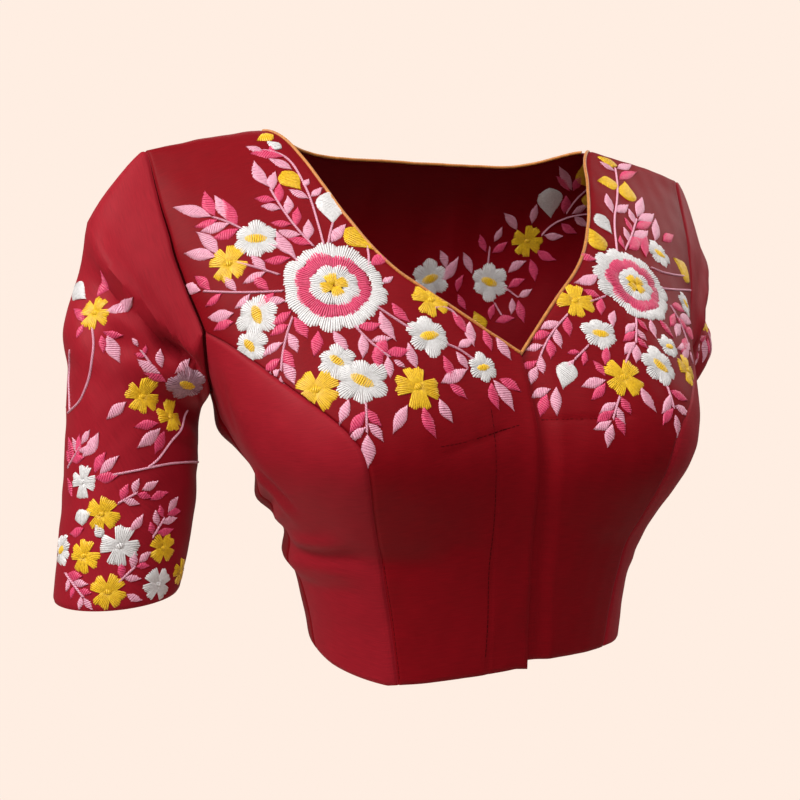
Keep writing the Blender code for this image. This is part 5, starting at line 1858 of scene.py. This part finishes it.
def add_camera():
    """The camera at the photograph's place, without depth of field."""
    turn = math.radians(CAMERA["azimuth"])
    heading = turn + math.radians(CAMERA["yaw"])
    pitch, roll = math.radians(CAMERA["pitch"]), math.radians(CAMERA["roll"])
    eye = direction(turn, 0.0) * CAMERA["distance"]
    eye.z = CAMERA["height"]
    look = -direction(heading, -pitch)
    right = look.cross(Vector((0, 0, 1))).normalized()
    up = right.cross(look)
    across = math.cos(roll) * right + math.sin(roll) * up
    upright = -math.sin(roll) * right + math.cos(roll) * up
    data = bpy.data.cameras.new("camera")
    data.lens = CAMERA["lens_mm"]
    data.sensor_width = CAMERA["sensor_mm"]
    data.clip_start, data.clip_end = CAMERA["clip_start"], CAMERA["clip_end"]
    camera = bpy.data.objects.new("camera", data)
    bpy.context.scene.collection.objects.link(camera)
    basis = Matrix((across, upright, -look)).transposed().to_4x4()
    camera.matrix_world = Matrix.Translation(eye) @ basis
    bpy.context.scene.camera = camera
    return eye, across, upright, look


def add_lights():
    """Soft lights round the blouse, the strongest on the wearer's right, and a pale world."""
    for row in LIGHTS:
        light = dict(zip(LIGHT_COLUMNS, row))
        data = bpy.data.lights.new(light["name"], "AREA")
        data.shape = "DISK"
        data.size = light["size"]
        data.energy = light["watts"]
        data.color = light["colour"]
        away = direction(math.radians(light["azimuth"]), math.radians(light["elevation"]))
        lamp = bpy.data.objects.new(light["name"], data)
        lamp.location = Vector(LIT_MIDDLE) + away * light["distance"]
        lamp.rotation_mode = "QUATERNION"
        lamp.rotation_quaternion = away.to_track_quat("Z", "Y")
        bpy.context.scene.collection.objects.link(lamp)
    world = bpy.data.worlds.new("pale_studio")
    world.use_nodes = True
    tree = world.node_tree
    back, seen = tree.nodes["Background"], tree.nodes.new("ShaderNodeBackground")
    for node, strength in ((back, WORLD_STRENGTH), (seen, 1.0)):
        node.inputs["Color"].default_value = (*PALE, 1.0)
        node.inputs["Strength"].default_value = strength
    path = tree.nodes.new("ShaderNodeLightPath")
    mix = tree.nodes.new("ShaderNodeMixShader")
    tree.links.new(path.outputs["Is Camera Ray"], mix.inputs[0])
    tree.links.new(back.outputs[0], mix.inputs[1])
    tree.links.new(seen.outputs[0], mix.inputs[2])
    tree.links.new(mix.outputs[0], tree.nodes["World Output"].inputs["Surface"])
    bpy.context.scene.world = world
    bpy.context.scene.view_settings.view_transform = "Standard"


def add_floor():
    """A round pale floor, well below: the blouse is held at the height of a wearer's shoulders."""
    data = bpy.data.meshes.new("floor")
    turns = [2 * math.pi * k / FLOOR_SIDES for k in range(FLOOR_SIDES)]
    rim = [(FLOOR_RADIUS * math.cos(turn), FLOOR_RADIUS * math.sin(turn), FLOOR_HEIGHT) for turn in turns]
    data.from_pydata(rim, [], [tuple(range(FLOOR_SIDES))])
    data.materials.append(floor_material())
    floor = bpy.data.objects.new("floor", data)
    bpy.context.scene.collection.objects.link(floor)


def main():
    """Builds the scene, hangs every piece on the root and hides the solids that the cloth pieces stand for."""
    view = add_camera()
    add_lights()
    add_floor()
    # The same red cloth twice: a darker copy with painted shade and a brighter copy with painted light
    painted_shade, painted_light = cloth_material("painted_shade"), cloth_material("painted_light")
    gold = grained("mustard_piping", "piping", "piping", *PIPING_TONES)
    pieces = {"back": back_panel(painted_shade), "piping_back": back_piping(gold)}
    for side in ("right", "left"):
        pieces[f"front_{side}_centre"] = front_centre(side, painted_shade)
        pieces[f"front_{side}_side"] = front_side(side, painted_light)
        pieces[f"sleeve_{side}"] = sleeve(side, painted_light)
        pieces[f"piping_{side}"] = front_piping(side, gold)
    for node, piece in pieces.items():
        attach(piece, "root")
        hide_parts(node)
    stitches = embroider(Photo(*view), pieces)
    for piece in sum(stitches.values(), []):
        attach(piece, "root")


main()
